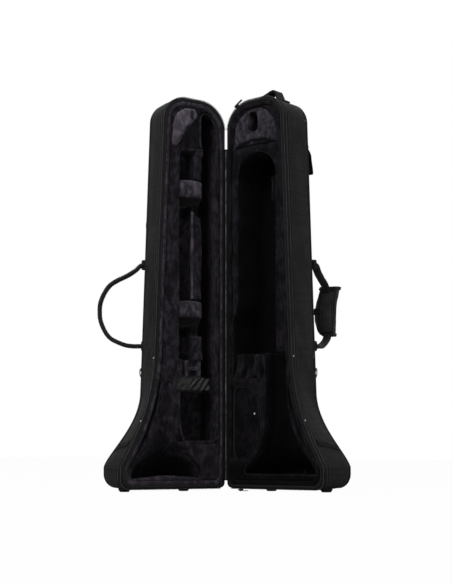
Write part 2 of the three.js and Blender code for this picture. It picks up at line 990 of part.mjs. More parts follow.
// The drape's rows run up its front. Its folds deepen towards the foot and its upper edge sags back.
function drape() {
  const left = drapeLeft + seatGap;
  const right = drapeRight - seatGap;
  const bottom = drapeBottom + seatGap;
  const rings = [];
  for (let i = 0; i <= drapeSteps; i++) {
    const across = i / drapeSteps;
    const x = THREE.MathUtils.lerp(left, right, across);
    const ring = [new THREE.Vector3(x, drapeDepth, bottom)];
    for (let row = 0; row <= drapeRows; row++) {
      const up = row / drapeRows;
      const z = THREE.MathUtils.lerp(bottom, tuningBottom, up);
      const fold = drapeFoldHeight * (1 - up / 2) * Math.sin(2 * Math.PI * (drapeFolds * across + up / 3));
      const sag = drapeSag * up * up * Math.sin(Math.PI * across);
      ring.push(new THREE.Vector3(x, drapeFront + fold + sag, z));
    }
    ring.push(new THREE.Vector3(x, drapeDepth, tuningBottom));
    rings.push(ring);
  }
  return skinOf(rings);
}

function supportBlock() {
  const shape = rectangle(supportLeft, tuningRight - seatGap, supportBottom, supportTop, supportCorner);
  return pad(shape, supportFront, tuningDepth - seatGap, supportCorner / 2);
}

function bellLining() {
  const fromFront = liningFront - overrun;
  const drapeSeat = rectangle(drapeLeft, drapeRight, drapeBottom, tuningBottom + seatGap, seatGap);
  const ledgeDepth = boxLidFront + boxLidThick + seatGap;
  return cut(
    liningBlock(bellDepth),
    tuningCavity(),
    bellChannel(),
    prism(mouthShape(seatGap), fromFront, mouthBack + seatGap, blockSteps),
    prism(boxShape(0), fromFront, boxDepth),
    prism(boxShape(boxLidMargin + boxLidGap), fromFront, ledgeDepth),
    prism(drapeSeat, fromFront, drapeDepth + seatGap),
  );
}

// Cavities and blocks of the lid

// A block across the well and the ridge beside it, with a stem down to the floor of the well
function restBlock(bottom, top) {
  const head = rectangle(slideRight + seatGap, wellRight - seatGap, bottom, top, restCorner);
  const stem = rectangle(wellLeft + seatGap, wellRight - seatGap, bottom, top, restCorner);
  const block = join(
    pad(head, restFront, restHeadBack, restRoll),
    prism(stem, restStemFront, wellDepth - seatGap),
  );
  return cut(block, underBlock(bottom));
}

// The wedge of room under a block's slanting underside
function underBlock(bottom) {
  const corners = [
    [restFront - overrun, bottom - overrun],
    [restHeadBack, bottom - overrun],
    [restHeadBack, bottom],
    [restFront, bottom + restSlant],
    [restFront - overrun, bottom + restSlant],
  ];
  const shape = new THREE.Shape(corners.map(([y, z]) => new THREE.Vector2(y, z)));
  const depth = wellRight - slideRight;
  const geometry = new THREE.ExtrudeGeometry(shape, { depth, bevelEnabled: false });
  const turned = new THREE.Matrix4().makeBasis(
    new THREE.Vector3(0, 1, 0),
    new THREE.Vector3(0, 0, 1),
    new THREE.Vector3(1, 0, 0),
  );
  geometry.applyMatrix4(turned);
  geometry.translate(slideRight, 0, 0);
  return geometry;
}

function saddle() {
  const left = rectangle(saddleLeft, saddleLeft + saddleRail, saddleBottom, saddleTop, saddleRail / 3);
  const right = rectangle(saddleRight - saddleRail, saddleRight, saddleBottom, saddleTop, saddleRail / 3);
  const middle = (saddleBottom + saddleTop) / 2;
  const low = middle - saddleRail / 2;
  const high = middle + saddleRail / 2;
  const back = saddleBack - seatGap;
  const across = rectangle(saddleLeft + seatGap, saddleRight - seatGap, low, high, seatGap);
  return join(
    prism(left, saddleFront, back),
    prism(right, saddleFront, back),
    prism(across, saddleFront + saddleRail / 2, back),
  );
}

// A wavy strap across the lining, hinged at its end nearer the free edge
function slideStrap() {
  const upper = [];
  const lower = [];
  for (let i = 0; i <= strapSteps; i++) {
    const share = i / strapSteps;
    const x = THREE.MathUtils.lerp(strapLeft, strapRight, share);
    const wave = strapWave * Math.sin(2 * Math.PI * strapWaves * share) * Math.sin(Math.PI * share);
    upper.push(new THREE.Vector2(x, strapFront + strapWave + wave));
    lower.push(new THREE.Vector2(x, strapFront + strapWave + wave + strapThick));
  }
  const shape = new THREE.Shape([...upper, ...lower.reverse()]);
  const depth = strapTop - strapBottom;
  const geometry = new THREE.ExtrudeGeometry(shape, { depth, bevelEnabled: false });
  geometry.translate(0, 0, strapBottom);
  return geometry;
}

function loopTab() {
  const left = loopAt - loopWidth / 2;
  const shape = rectangle(left, left + loopWidth, loopTop - loopLong, loopTop, loopWidth / 3);
  return prism(shape, wedgeFront - seatGap - loopThick, wedgeFront - seatGap);
}

function lidLining() {
  const fromFront = liningFront - overrun;
  const strapFloor = strapFront + 2 * strapWave + strapThick + seatGap;
  const strapSeat = rectangle(
    strapLeft - strapClear,
    strapRight + strapClear,
    strapBottom - strapClear,
    strapTop + strapClear,
    strapCorner,
  );
  const saddleSeat = rectangle(
    saddleLeft - restCorner,
    saddleRight + restCorner,
    saddleBottom - seatGap,
    saddleTop + seatGap,
    seatGap,
  );
  const undercuts = [restUpperBottom, restLowerBottom].map((bottom) =>
    prism(rectangle(wellLeft, wellRight, bottom - undercut, bottom, restCorner / 3), fromFront, undercutDepth),
  );
  const ridgeLeft = slideRight - overrun;
  const ridgeRight = wellLeft + overrun;
  const ridge = rectangle(ridgeLeft, ridgeRight, wellBottom + ridgeFront, wellTop - ridgeFront, seatGap);
  const headSeats = [
    [restUpperBottom, restUpperTop],
    [restLowerBottom, restLowerTop],
  ].map(([bottom, top]) =>
    prism(
      rectangle(ridgeLeft, ridgeRight, bottom - undercut, top + seatGap, seatGap),
      fromFront,
      restHeadBack + seatGap,
    ),
  );
  return cut(
    liningBlock(lidDepth),
    prism(ridge, fromFront, ridgeFront),
    ...headSeats,
    latheAbout(lidBellSeat, lidBellAt, -bellInset),
    prism(rectangle(slideLeft, slideRight, slideBottom, slideTop, cavityRound), fromFront, slideDepth),
    prism(rounded(bowCorners, cavityRound), fromFront, bowDepth),
    prism(rectangle(wellLeft, wellRight, wellBottom, wellTop, cavityRound), fromFront, wellDepth),
    ...undercuts,
    prism(rectangle(gripLeft, gripRight, gripBottom, gripTop, cavityRound), fromFront, gripDepth),
    prism(rounded(grown(wedgeCorners, seatGap), cavityRound), fromFront, wedgeBack + seatGap),
    prism(strapSeat, fromFront, strapFloor),
    prism(saddleSeat, fromFront, saddleBack),
  );
}

// Carry handles. Their frame has the centre of the rounded back edge at its origin and points
// its y axis out of the edge.

// Distance from the hinge line to the free side of the back, above the flare
function freeSideAt(height) {
  const share = (height - backWaistHeight) / (crownHeight - archFreeRadius - backWaistHeight);
  return THREE.MathUtils.lerp(backWaistAt, topAt, share);
}

const freeSideLean =
  (topAt - backWaistAt) / (crownHeight - archFreeRadius - backWaistHeight);
const handleBottom = handleTop - handleSpan;
const handleAxisOut = backRound + patchGap + anchorThick + handleRadius + lugClear;

function handleAxis(depth) {
  const x = freeSideAt(handleBottom) - backRound + handleAxisOut * Math.cos(anchorTurn);
  const y = depth - backRound + handleAxisOut * Math.sin(anchorTurn);
  return new THREE.Vector2(x, y);
}

// A curved patch on the rounded back edge, centred on a height
function edgePatch(depth, height, tall, spread, thick, centre = anchorTurn) {
  const inner = backRound + patchGap;
  const shape = new THREE.Shape();
  for (let i = 0; i <= anchorSteps; i++) {
    const turn = centre + THREE.MathUtils.lerp(-spread, spread, i / anchorSteps);
    const [x, y] = [inner * Math.cos(turn), inner * Math.sin(turn)];
    if (i === 0) shape.moveTo(x, y);
    else shape.lineTo(x, y);
  }
  for (let i = anchorSteps; i >= 0; i--) {
    const turn = centre + THREE.MathUtils.lerp(-spread, spread, i / anchorSteps);
    shape.lineTo((inner + thick) * Math.cos(turn), (inner + thick) * Math.sin(turn));
  }
  shape.closePath();
  return alongEdge(shape, depth, height, tall);
}

// A shape drawn about the edge's centre, run up along the leaning edge
function alongEdge(shape, depth, height, tall) {
  const piece = new THREE.ExtrudeGeometry(shape, { depth: tall, bevelEnabled: false });
  piece.translate(0, 0, -tall / 2);
  piece.applyMatrix4(new THREE.Matrix4().set(1, 0, freeSideLean, 0, 0, 1, 0, 0, 0, 0, 1, 0, 0, 0, 0, 1));
  piece.translate(freeSideAt(height) - backRound, depth - backRound, height);
  return piece;
}

function edgeCore(depth, height, tall) {
  const circle = new THREE.Shape();
  circle.absarc(0, 0, backRound + patchGap, 0, 2 * Math.PI, false);
  return alongEdge(circle, depth, height, tall);
}

// An anchor: the patch and two lugs that hold the handle's eye between them
function handleAnchor(depth, height) {
  const axis = handleAxis(depth);
  const foot = new THREE.Vector2(freeSideAt(height) - backRound, depth - backRound);
  const out = new THREE.Vector2(Math.cos(anchorTurn), Math.sin(anchorTurn));
  foot.addScaledVector(out, backRound + patchGap + anchorThick / 2);
  const along = axis.clone().sub(foot);
  const parts = [edgePatch(depth, height, anchorTall, anchorSpread, anchorThick)];
  for (const side of [-1, 1]) {
    const level = height + side * (handleEyeTall / 2 + seatGap + lugTall / 2);
    const bar = new THREE.BoxGeometry(along.length(), lugWide, lugTall);
    bar.rotateZ(along.angle());
    bar.translate((axis.x + foot.x) / 2, (axis.y + foot.y) / 2, level);
    const end = new THREE.CylinderGeometry(lugWide / 2, lugWide / 2, lugTall, eyeSides);
    end.rotateX(Math.PI / 2);
    end.translate(axis.x, axis.y, level);
    parts.push(bar, end);
  }
  return cut(join(...parts), edgeCore(depth, height, anchorTall));
}

// The handle runs out from its axis in a plane turned by its lean from straight back
function handleCurve() {
  const points = handlePathShares.map(
    ([out, up]) => new THREE.Vector3(handleReach * out, 0, handleBottom + handleSpan * up),
  );
  return new THREE.CatmullRomCurve3(points, false, "centripetal");
}

function turnedHandle(geometry, depth, lean) {
  const axis = handleAxis(depth);
  geometry.rotateZ(Math.PI / 2 - lean);
  geometry.translate(axis.x, axis.y, 0);
  return geometry;
}

function carryHandle(depth, lean) {
  const parts = [tube(handleCurve(), handleRadius, handleSides, handleSteps)];
  for (const height of [handleBottom, handleTop]) {
    const eye = new THREE.CylinderGeometry(handleRadius, handleRadius, handleEyeTall, eyeSides);
    eye.rotateX(Math.PI / 2);
    eye.translate(0, 0, height);
    parts.push(eye);
  }
  return turnedHandle(join(...parts), depth, lean);
}

function handleWrap(depth, lean) {
  const half = { x: wrapThick / 2, y: wrapWide / 2 };
  const section = rectangle(-half.x, half.x, -half.y, half.y, wrapCorner);
  const wrap = new THREE.ExtrudeGeometry(section, {
    depth: wrapTall - 2 * wrapBevel,
    bevelEnabled: true,
    bevelThickness: wrapBevel,
    bevelSize: wrapBevel,
    bevelOffset: -wrapBevel,
    bevelSegments: rollSteps,
    curveSegments: cornerSteps,
  });
  const low = handleBottom + handleSpan * wrapCentreShare - wrapTall / 2 + wrapBevel;
  wrap.translate(handleReach * wrapReachShare, wrapAside, low);
  const bore = tube(handleCurve(), handleRadius + wrapClearance, handleSides, handleSteps);
  return turnedHandle(cut(wrap, bore), depth, lean);
}

function grabHandle() {
  const line = grabPath.map(([x, rise]) => [x, crownHeight + rise]);
  return strap(line, grabThick, grabBack - grabWide / 2, grabBack + grabWide / 2, grabSteps);
}

// Pockets on the backs: a side profile of distance behind the back and height, run across the width
function acrossBack(profile, depth, left, right) {
  const shape = new THREE.Shape(profile.map(([out, z]) => new THREE.Vector2(depth + out, z)));
  const geometry = new THREE.ExtrudeGeometry(shape, { depth: right - left, bevelEnabled: false });
  geometry.applyMatrix4(new THREE.Matrix4().set(0, 0, 1, left, 1, 0, 0, 0, 0, 1, 0, 0, 0, 0, 0, 1));
  return geometry;
}

function bellPocket() {
  const outer = [
    [seatGap, bellPocketBottom],
    [bellPocketThick - pocketWall, bellPocketBottom],
    [bellPocketThick, bellPocketBottom + 3 * pocketWall],
    [bellPocketThick, bellPocketTop],
    [seatGap, bellPocketTop],
  ];
  const inner = [
    [seatGap + pocketWall, bellPocketBottom + 3 * pocketWall],
    [bellPocketThick - pocketWall, bellPocketBottom + 3 * pocketWall],
    [bellPocketThick - pocketWall, bellPocketTop + overrun],
    [seatGap + pocketWall, bellPocketTop + overrun],
  ];
  return cut(
    acrossBack(outer, bellDepth, pocketLeft, bellPocketRight),
    acrossBack(inner, bellDepth, pocketLeft + pocketWall, bellPocketRight - pocketWall),
  );
}

function bellPocketFlap() {
  const mouth = bellPocketTop + seatGap;
  const behind = bellPocketThick + seatGap;
  const profile = [
    [seatGap, mouth],
    [behind, mouth],
    [behind, mouth - flapTall],
    [flapLip, mouth - flapTall + pocketWall],
    [flapTopThick, mouth + flapRoot / 2],
    [seatGap + pocketWall, mouth + flapRoot],
    [seatGap, mouth + flapRoot],
  ];
  return acrossBack(profile, bellDepth, pocketLeft - pocketWall, bellPocketRight + pocketWall);
}

function lidPocket() {
  const outer = [
    [seatGap, lidPocketBottom],
    [lidPocketThick, lidPocketBottom + 3 * pocketWall],
    [lidPocketThick, lidPocketEase],
    [(lidPocketThick + lidPocketBulge) / 2 + pocketWall, (lidPocketEase + lidPocketPeak) / 2],
    [lidPocketBulge, lidPocketPeak],
    [lidPocketMouth, lidPocketTop],
    [seatGap, lidPocketTop],
  ];
  const inner = [
    [seatGap + pocketWall, lidPocketBottom + 4 * pocketWall],
    [lidPocketThick - pocketWall, lidPocketBottom + 4 * pocketWall],
    [lidPocketThick - pocketWall, lidPocketEase],
    [lidPocketBulge - pocketWall, lidPocketPeak],
    [lidPocketMouth - pocketWall, lidPocketTop],
    [lidPocketMouth - pocketWall, lidPocketTop + overrun],
    [seatGap + pocketWall, lidPocketTop + overrun],
  ];
  return cut(
    acrossBack(outer, lidDepth, pocketLeft, lidPocketRight),
    acrossBack(inner, lidDepth, pocketLeft + pocketWall, lidPocketRight - pocketWall),
  );
}

// Strap rings. The ring's straight bar lies in the tab's ear, square to the edge's outward line.
const ringAxisOut = backRound + patchGap + ringEarRadius;

function ringPlace(geometry, depth) {
  geometry.rotateZ(ringTurn - Math.PI / 2);
  const x = freeSideAt(ringHeight) - backRound + ringAxisOut * Math.cos(ringTurn);
  const y = depth - backRound + ringAxisOut * Math.sin(ringTurn);
  geometry.translate(x, y, ringHeight);
  return geometry;
}

function barAlongX(radius, long, sides) {
  const bar = new THREE.CylinderGeometry(radius, radius, long, sides);
  bar.rotateZ(Math.PI / 2);
  return bar;
}

function ringTab(depth) {
  const ear = ringPlace(barAlongX(ringEarRadius, ringEarLong, eyeSides), depth);
  const hole = ringPlace(barAlongX(ringWire + ringClear, ringEarLong + overrun, handleSides), depth);
  const middle = ringHeight + ringTabTall / 2;
  const patch = edgePatch(depth, middle, ringTabTall, ringTabSpread, anchorThick, ringTurn);
  return cut(join(patch, ear), hole);
}

function strapRing(depth) {
  const half = ringWide / 2;
  const points = ringPathShares.map(([x, z]) => new THREE.Vector3(half * x, 0, -ringDrop * z));
  const curve = new THREE.CatmullRomCurve3(points, true, "catmullrom", ringTension);
  const rings = [];
  for (let i = 0; i < ringSteps; i++) {
    const at = curve.getPoint(i / ringSteps);
    const along = curve.getTangent(i / ringSteps);
    const across = new THREE.Vector3(0, 1, 0);
    const outward = new THREE.Vector3().crossVectors(along, across);
    const ring = [];
    for (let side = 0; side < ringSides; side++) {
      const turn = (side / ringSides) * 2 * Math.PI;
      const offset = outward.clone().multiplyScalar(ringWire * Math.cos(turn));
      offset.addScaledVector(across, ringWire * Math.sin(turn));
      ring.push(at.clone().add(offset));
    }
    rings.push(ring);
  }
  return ringPlace(skinOf(rings, true), depth);
}

// Zip sliders, drawn with the rim's edge at z = 0 and outward as -z
const chainOut = seatGap + 2 * chainRadius;
const sliderTop = -chainOut - sliderGap;
const sliderFoot = sliderTop - sliderThick;

function zipSlider() {
  const plate = new THREE.BoxGeometry(sliderLong, sliderWide, sliderThick);
  plate.translate(0, rimFront + chainRadius, (sliderTop + sliderFoot) / 2);
  const lipFront = rimFront + 2 * chainRadius + sliderGap;
  const lip = new THREE.BoxGeometry(sliderLong, sliderLip, sliderRise + sliderThick);
  lip.translate(0, lipFront + sliderLip / 2, sliderFoot + (sliderRise + sliderThick) / 2);
  return join(plate, lip);
}

// A pull lies along the zip, towards the end that it closes
function zipPull(towards) {
  const half = pullWide / 2;
  const ends = [-half * towards, (pullLong - half) * towards];
  const shape = rectangle(Math.min(...ends), Math.max(...ends), -half, half, half);
  const options = { depth: pullThick, bevelEnabled: false, curveSegments: pullSides };
  const pull = new THREE.ExtrudeGeometry(shape, options);
  pull.translate(0, rimFront + chainRadius, sliderFoot - seatGap - pullThick);
  return pull;
}

function onLowerEdge(geometry) {
  geometry.translate(sliderLowerAt, 0, floorOfShell);
  return geometry;
}

// The upper slider sits on the shoulder above the hinge
function onShoulder(geometry) {
  geometry.rotateY(-(sliderUpperTurn + Math.PI / 2));
  const x = hingeSideAt + archHingeRadius * (1 + Math.cos(sliderUpperTurn));
  const z = crownHeight - archHingeDrop - archHingeRadius * (1 - Math.sin(sliderUpperTurn));
  geometry.translate(x, 0, z);
  return geometry;
}

// Bell half
addBell("bell_cover", cup(bellDepth, 0, coverThick, frameFront), nylon);
addBell("bell_frame", cup(bellDepth, frameSkin, frameThick, frameFront), board);
addBell("bell_lining", bellLining(), plush);
addBell("bell_rim_tape", rimTape(), binding);
addBell("bell_zip_chain", zipChain(), binding);
addBell("bell_piping", piping(bellDepth), binding);
addBell("bell_hinge_leaf", hingeLeaf(), nylon);
addBell("bell_foot_free", foot(footFreeAt, bellFootDepth), rubber);
addBell("bell_foot_hinge", foot(footHingeAt, bellFootDepth), rubber);
addBell("mouthpiece_block", mouthpieceBlock(), plush);
addBell("support_block", supportBlock(), plush);
addBell("divider_drape", drape(), plush);
addBell("accessory_lid", accessoryLid(), plush);
addBell("accessory_snap", accessorySnap(), steel);
addBell("bell_handle_anchor_upper", handleAnchor(bellDepth, handleTop), nylon);
addBell("bell_handle_anchor_lower", handleAnchor(bellDepth, handleBottom), nylon);
addBell("bell_handle", carryHandle(bellDepth, bellHandleLean), binding);
addBell("handle_wrap", handleWrap(bellDepth, bellHandleLean), nylon);
addBell("grab_handle", grabHandle(), binding);
addBell("bell_pocket", bellPocket(), nylon);
addBell("bell_pocket_flap", bellPocketFlap(), nylon);
addBell("bell_ring_tab", ringTab(bellDepth), binding);
addBell("bell_ring", strapRing(bellDepth), steel);
addBell("zip_slider_lower", onLowerEdge(zipSlider()), blackMetal);
addBell("zip_pull_lower", onLowerEdge(zipPull(1)), blackMetal);
addBell("zip_slider_upper", onShoulder(zipSlider()), blackMetal);
addBell("zip_pull_upper", onShoulder(zipPull(-1)), blackMetal);

// Lid half
addLid("lid_cover", cup(lidDepth, 0, coverThick, frameFront), nylon);
addLid("lid_frame", cup(lidDepth, frameSkin, frameThick, frameFront), board);
addLid("lid_lining", lidLining(), plush);
addLid("lid_rim_tape", rimTape(), binding);
addLid("lid_zip_chain", zipChain(), binding);
addLid("lid_piping", piping(lidDepth), binding);
addLid("lid_hinge_leaf", hingeLeaf(), nylon);
addLid("lid_foot_free", foot(footFreeAt, lidFootDepth), rubber);
addLid("lid_foot_hinge", foot(footHingeAt, lidFootDepth), rubber);
addLid("wedge_block", pad(rounded(wedgeCorners, cavityRound), wedgeFront, wedgeBack, restRoll), plush);
addLid("wedge_loop_tab", loopTab(), binding);
addLid("rest_block_upper", restBlock(restUpperBottom, restUpperTop), plush);
addLid("rest_block_lower", restBlock(restLowerBottom, restLowerTop), plush);
addLid("slide_saddle", saddle(), plush);
addLid("slide_strap", slideStrap(), plush);
addLid("lid_handle_anchor_upper", handleAnchor(lidDepth, handleTop), nylon);
addLid("lid_handle_anchor_lower", handleAnchor(lidDepth, handleBottom), nylon);
addLid("lid_handle", carryHandle(lidDepth, lidHandleLean), binding);
addLid("lid_pocket", lidPocket(), nylon);
addLid("lid_ring_tab", ringTab(lidDepth), binding);
addLid("lid_ring", strapRing(lidDepth), steel);

// The origin is the middle of the case's footprint, on the floor
caseGroup.updateMatrixWorld(true);
const bounds = new THREE.Box3().setFromObject(caseGroup);
const middle = bounds.getCenter(new THREE.Vector3());
caseGroup.position.set(-middle.x, -middle.y, -bounds.min.z);

export default caseGroup;
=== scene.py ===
import json
import math
from contextlib import contextmanager

import bmesh
import bpy
import numpy as np
from mathutils import Matrix, Vector, noise


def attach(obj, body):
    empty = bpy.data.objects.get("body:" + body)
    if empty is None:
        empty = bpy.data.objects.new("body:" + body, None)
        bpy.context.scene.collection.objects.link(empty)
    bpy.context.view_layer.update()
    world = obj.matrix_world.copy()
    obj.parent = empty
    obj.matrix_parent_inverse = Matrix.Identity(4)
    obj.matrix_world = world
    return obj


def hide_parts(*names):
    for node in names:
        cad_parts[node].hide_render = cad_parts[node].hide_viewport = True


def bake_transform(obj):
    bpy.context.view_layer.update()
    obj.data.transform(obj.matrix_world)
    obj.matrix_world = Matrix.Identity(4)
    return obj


bl_info = {
    "name": "Open Trombone Case",
    "version": (1, 0, 0),
    "blender": (4, 5, 0),
    "location": "View3D > Sidebar > Case",
    "description": "Soft goods, trim and finishes of an open trombone case",
    "category": "Object",
}

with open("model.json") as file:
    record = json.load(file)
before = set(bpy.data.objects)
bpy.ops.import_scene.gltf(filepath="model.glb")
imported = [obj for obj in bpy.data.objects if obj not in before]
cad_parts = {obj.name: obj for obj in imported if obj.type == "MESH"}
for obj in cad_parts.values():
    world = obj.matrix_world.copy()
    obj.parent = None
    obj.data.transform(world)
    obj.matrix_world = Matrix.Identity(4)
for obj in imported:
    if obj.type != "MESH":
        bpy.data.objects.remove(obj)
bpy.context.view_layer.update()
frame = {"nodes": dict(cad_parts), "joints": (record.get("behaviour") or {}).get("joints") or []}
JOINTS = {joint["name"]: joint for joint in frame["joints"]}
MM = 0.001

# The two halves. Each is drawn in millimetres in its own frame: x from the hinge to the free edge,
# y from the rim back into the half, and z up.
HINGE_AT = Vector(JOINTS["case_hinge"]["pos_m"][:2] + [0.0])
OPEN_ANGLE = math.radians(-JOINTS["case_hinge"]["range_deg"][0])


class Half:
    """A frame that pieces are drawn in, with the body that they ride on"""

    def __init__(self, name, body, depth, place, mirrored):
        self.name = name
        self.body = body
        self.depth = depth
        self.place = place
        self.mirrored = mirrored

    def world(self, points):
        points = np.asarray(points, float) * MM
        matrix = np.array(self.place)
        return points @ matrix[:3, :3].T + matrix[:3, 3]

    def local(self, points):
        back = np.array(self.place.inverted())
        return (np.asarray(points, float) @ back[:3, :3].T + back[:3, 3]) / MM


class Spot(Half):
    """A place on a half with a frame of its own, such as a handle's or a slider's"""

    def __init__(self, half, body, turn, at):
        super().__init__(half.name, body, half.depth, half.place, half.mirrored)
        self.turn = np.array(turn, float)
        self.at = np.array(at, float)

    def world(self, points):
        return super().world(np.asarray(points, float) @ self.turn.T + self.at)


def about_z(angle):
    return Matrix.Rotation(angle, 3, "Z")


BELL_PLACE = Matrix.Translation(HINGE_AT)
LID_PLACE = BELL_PLACE @ Matrix.Rotation(-OPEN_ANGLE, 4, "Z") @ Matrix.Diagonal((1, -1, 1, 1))
WORLD = Half("world", None, 0, Matrix.Identity(4), False)
BELL = Half("bell", "bell_half", 130, BELL_PLACE, False)
LID = Half("lid", "lid_half", 104, LID_PLACE, True)

# Outline of the halves, in millimetres. RIM, BACK and INNER hold the foot's width, the waist's width
# and height, the flare's two handles and the two foot corners' radii.
FLOOR = 9.3
CROWN = 998
FLARE_FOOT = 61.3
TOP_AT = 175
ARCH_FREE = 58
ARCH_HINGE = 75
ARCH_DROP = 3
HINGE_SIDE = 3
BACK_ROUND = 30
RIM = (288, 197, 353, (203, 190), (262, 115), 22, 13)
BACK = (297, 198, 250, (199, 165), (286, 98), 36, 34)
INNER = (288, 197, 353, (203, 190), (262, 115), 44, 32)
# Points along each part of the outline, from the foot by the free side and the arch to the hinge
SEGMENTS = (70, 12, 6, 130, 150, 30, 10, 36, 200, 10)
FREE_SIDE = slice(sum(SEGMENTS[:2]), sum(SEGMENTS[:5]))
HINGED_SIDE = slice(sum(SEGMENTS[:8]), sum(SEGMENTS[:9]))


def arc(centre, radius, start, end, count):
    turns = np.linspace(start, end, count, endpoint=False)
    return np.stack([centre[0] + radius * np.cos(turns), centre[1] + radius * np.sin(turns)], 1)


def run(a, b, count):
    shares = np.linspace(0, 1, count, endpoint=False)[:, None]
    return np.asarray(a, float) * (1 - shares) + np.asarray(b, float) * shares


def outline(bottom, waist, waist_height, knee, hip, free_corner, hinge_corner):
    quarter = math.pi / 2
    n = SEGMENTS
    foot = (bottom, FLARE_FOOT)
    free_spring = CROWN - ARCH_FREE
    hinge_spring = CROWN - ARCH_DROP - ARCH_HINGE
    t = np.linspace(0, 1, n[3], endpoint=False)[:, None]
    ends = np.array([foot, hip, knee, (waist, waist_height)], float)
    flare = (
        (1 - t) ** 3 * ends[0]
        + 3 * t * (1 - t) ** 2 * ends[1]
        + 3 * t**2 * (1 - t) * ends[2]
        + t**3 * ends[3]
    )
    top = CROWN - ARCH_DROP
    last_corner = (HINGE_SIDE + hinge_corner, FLOOR + hinge_corner)
    return np.concatenate(
        [
            run((HINGE_SIDE + hinge_corner, FLOOR), (bottom - free_corner, FLOOR), n[0]),
            arc((bottom - free_corner, FLOOR + free_corner), free_corner, -quarter, 0, n[1]),
            run((bottom, FLOOR + free_corner), foot, n[2]),
            flare,
            run((waist, waist_height), (TOP_AT, free_spring), n[4]),
            arc((TOP_AT - ARCH_FREE, free_spring), ARCH_FREE, 0, quarter, n[5]),
            run((TOP_AT - ARCH_FREE, CROWN), (HINGE_SIDE + ARCH_HINGE, top), n[6]),
            arc((HINGE_SIDE + ARCH_HINGE, hinge_spring), ARCH_HINGE, quarter, math.pi, n[7]),
            run((HINGE_SIDE, hinge_spring), (HINGE_SIDE, FLOOR + hinge_corner), n[8]),
            arc(last_corner, hinge_corner, math.pi, 3 * quarter, n[9]),
        ]
    )


def outward(points):
    along = np.roll(points, -1, 0) - np.roll(points, 1, 0)
    normal = np.stack([along[:, 1], -along[:, 0]], 1)
    return normal / np.linalg.norm(normal, axis=1, keepdims=True)


def inset(points, distance):
    distance = np.asarray(distance, float)
    return points - outward(points) * (distance[:, None] if distance.ndim else distance)


RIM_LINE = outline(*RIM)
BACK_LINE = outline(*BACK)
INNER_LINE = outline(*INNER)


def wall_line(depth, y):
    share = min(max(y / (depth - BACK_ROUND), 0), 1)
    return RIM_LINE * (1 - share) + BACK_LINE * share


def with_depth(points, y):
    return np.stack([points[:, 0], np.full(len(points), float(y)), points[:, 1]], 1)


def wall_ring(half, along, out=0.0):
    """A ring round a half at a distance along its skin: from the rim, over the back edge"""
    straight = half.depth - BACK_ROUND
    if along <= straight:
        return with_depth(inset(wall_line(half.depth, along), -out), along)
    turn = min((along - straight) / BACK_ROUND, math.pi / 2)
    pulled = BACK_ROUND - (BACK_ROUND + out) * math.cos(turn)
    return with_depth(inset(BACK_LINE, pulled), straight + (BACK_ROUND + out) * math.sin(turn))


def wall_point(half, index, along, out=0.0):
    ring = wall_ring(half, along, out)
    first = math.floor(index)
    share = index - first
    return ring[first] * (1 - share) + ring[first + 1] * share


def index_at_height(height):
    """The rim's point nearest a height, on its free side"""
    return FREE_SIDE.start + int(np.argmin(np.abs(RIM_LINE[FREE_SIDE, 1] - height)))


def free_side(height):
    """Distance from the hinge line to the free side of the back, above the flare"""
    rise = CROWN - ARCH_FREE - BACK[2]
    return BACK[1] + (height - BACK[2]) * (TOP_AT - BACK[1]) / rise


def on_edge(half, height, turn, out):
    """A point about the rounded back edge: how far round it, and how far from its middle line"""
    x = free_side(height) - BACK_ROUND + out * math.cos(turn)
    return (x, half.depth - BACK_ROUND + out * math.sin(turn), height)


def back_surface(half, x, height):
    """Depth of the cover's back, which rounds off towards the free side"""
    beyond = np.clip(x - free_side(height) + BACK_ROUND, 0, BACK_ROUND * 0.98)
    return half.depth - BACK_ROUND + np.sqrt(BACK_ROUND**2 - beyond**2)


# Meshes

# How many points a long roll, cord or strap has along it
ALONG = 60
FAR_ALONG = 120
# How far apart the seeds of the cloth's noise lie
SEED_STEPS = (3.7, 1.3, 2.1)


def unit(direction):
    direction = np.asarray(direction, float)
    return direction / np.linalg.norm(direction)


@contextmanager
def opened(mesh):
    """A mesh as a bmesh, which is written back at the end"""
    shell = bmesh.new()
    shell.from_mesh(mesh)
    yield shell
    shell.to_mesh(mesh)
    shell.free()


def link(name, data):
    obj = bpy.data.objects.new(name, data)
    bpy.context.scene.collection.objects.link(obj)
    return obj


def mesh_piece(name, half, points, faces, uvs):
    """A piece from points in a half's frame, in millimetres"""
    mesh = bpy.data.meshes.new(name)
    mesh.from_pydata(half.world(points).tolist(), [], [tuple(face) for face in faces])
    layer = mesh.uv_layers.new(name="cloth")
    layer.data.foreach_set("uv", np.asarray(uvs, np.float32).ravel())
    if half.mirrored:
        mesh.flip_normals()
    mesh.validate()
    mesh.shade_smooth()
    return link(name, mesh)


def ring_piece(name, half, rings, loop=False):
    """A skin through rings of equal count. Its cloth coordinates are lengths in metres."""
    rings = np.asarray(rings, float)
    rows, count = rings.shape[:2]
    steps = np.linalg.norm(np.roll(rings, -1, 1) - rings, axis=2).mean(0)
    across = np.concatenate([[0], np.cumsum(steps)]) * MM
    steps = np.linalg.norm(np.diff(rings, axis=0), axis=2).mean(1)
    down = np.concatenate([[0], np.cumsum(steps)]) * MM
    down = np.append(down, down[-1] + down[1])
    faces, uvs = [], []
    for row in range(rows if loop else rows - 1):
        below = (row + 1) % rows
        for i in range(count):
            j = (i + 1) % count
            faces.append((row * count + i, below * count + i, below * count + j, row * count + j))
            corners = ((i, row), (i, row + 1), (i + 1, row + 1), (i + 1, row))
            uvs += [(across[a], down[b]) for a, b in corners]
    return mesh_piece(name, half, rings.reshape(-1, 3), faces, uvs)


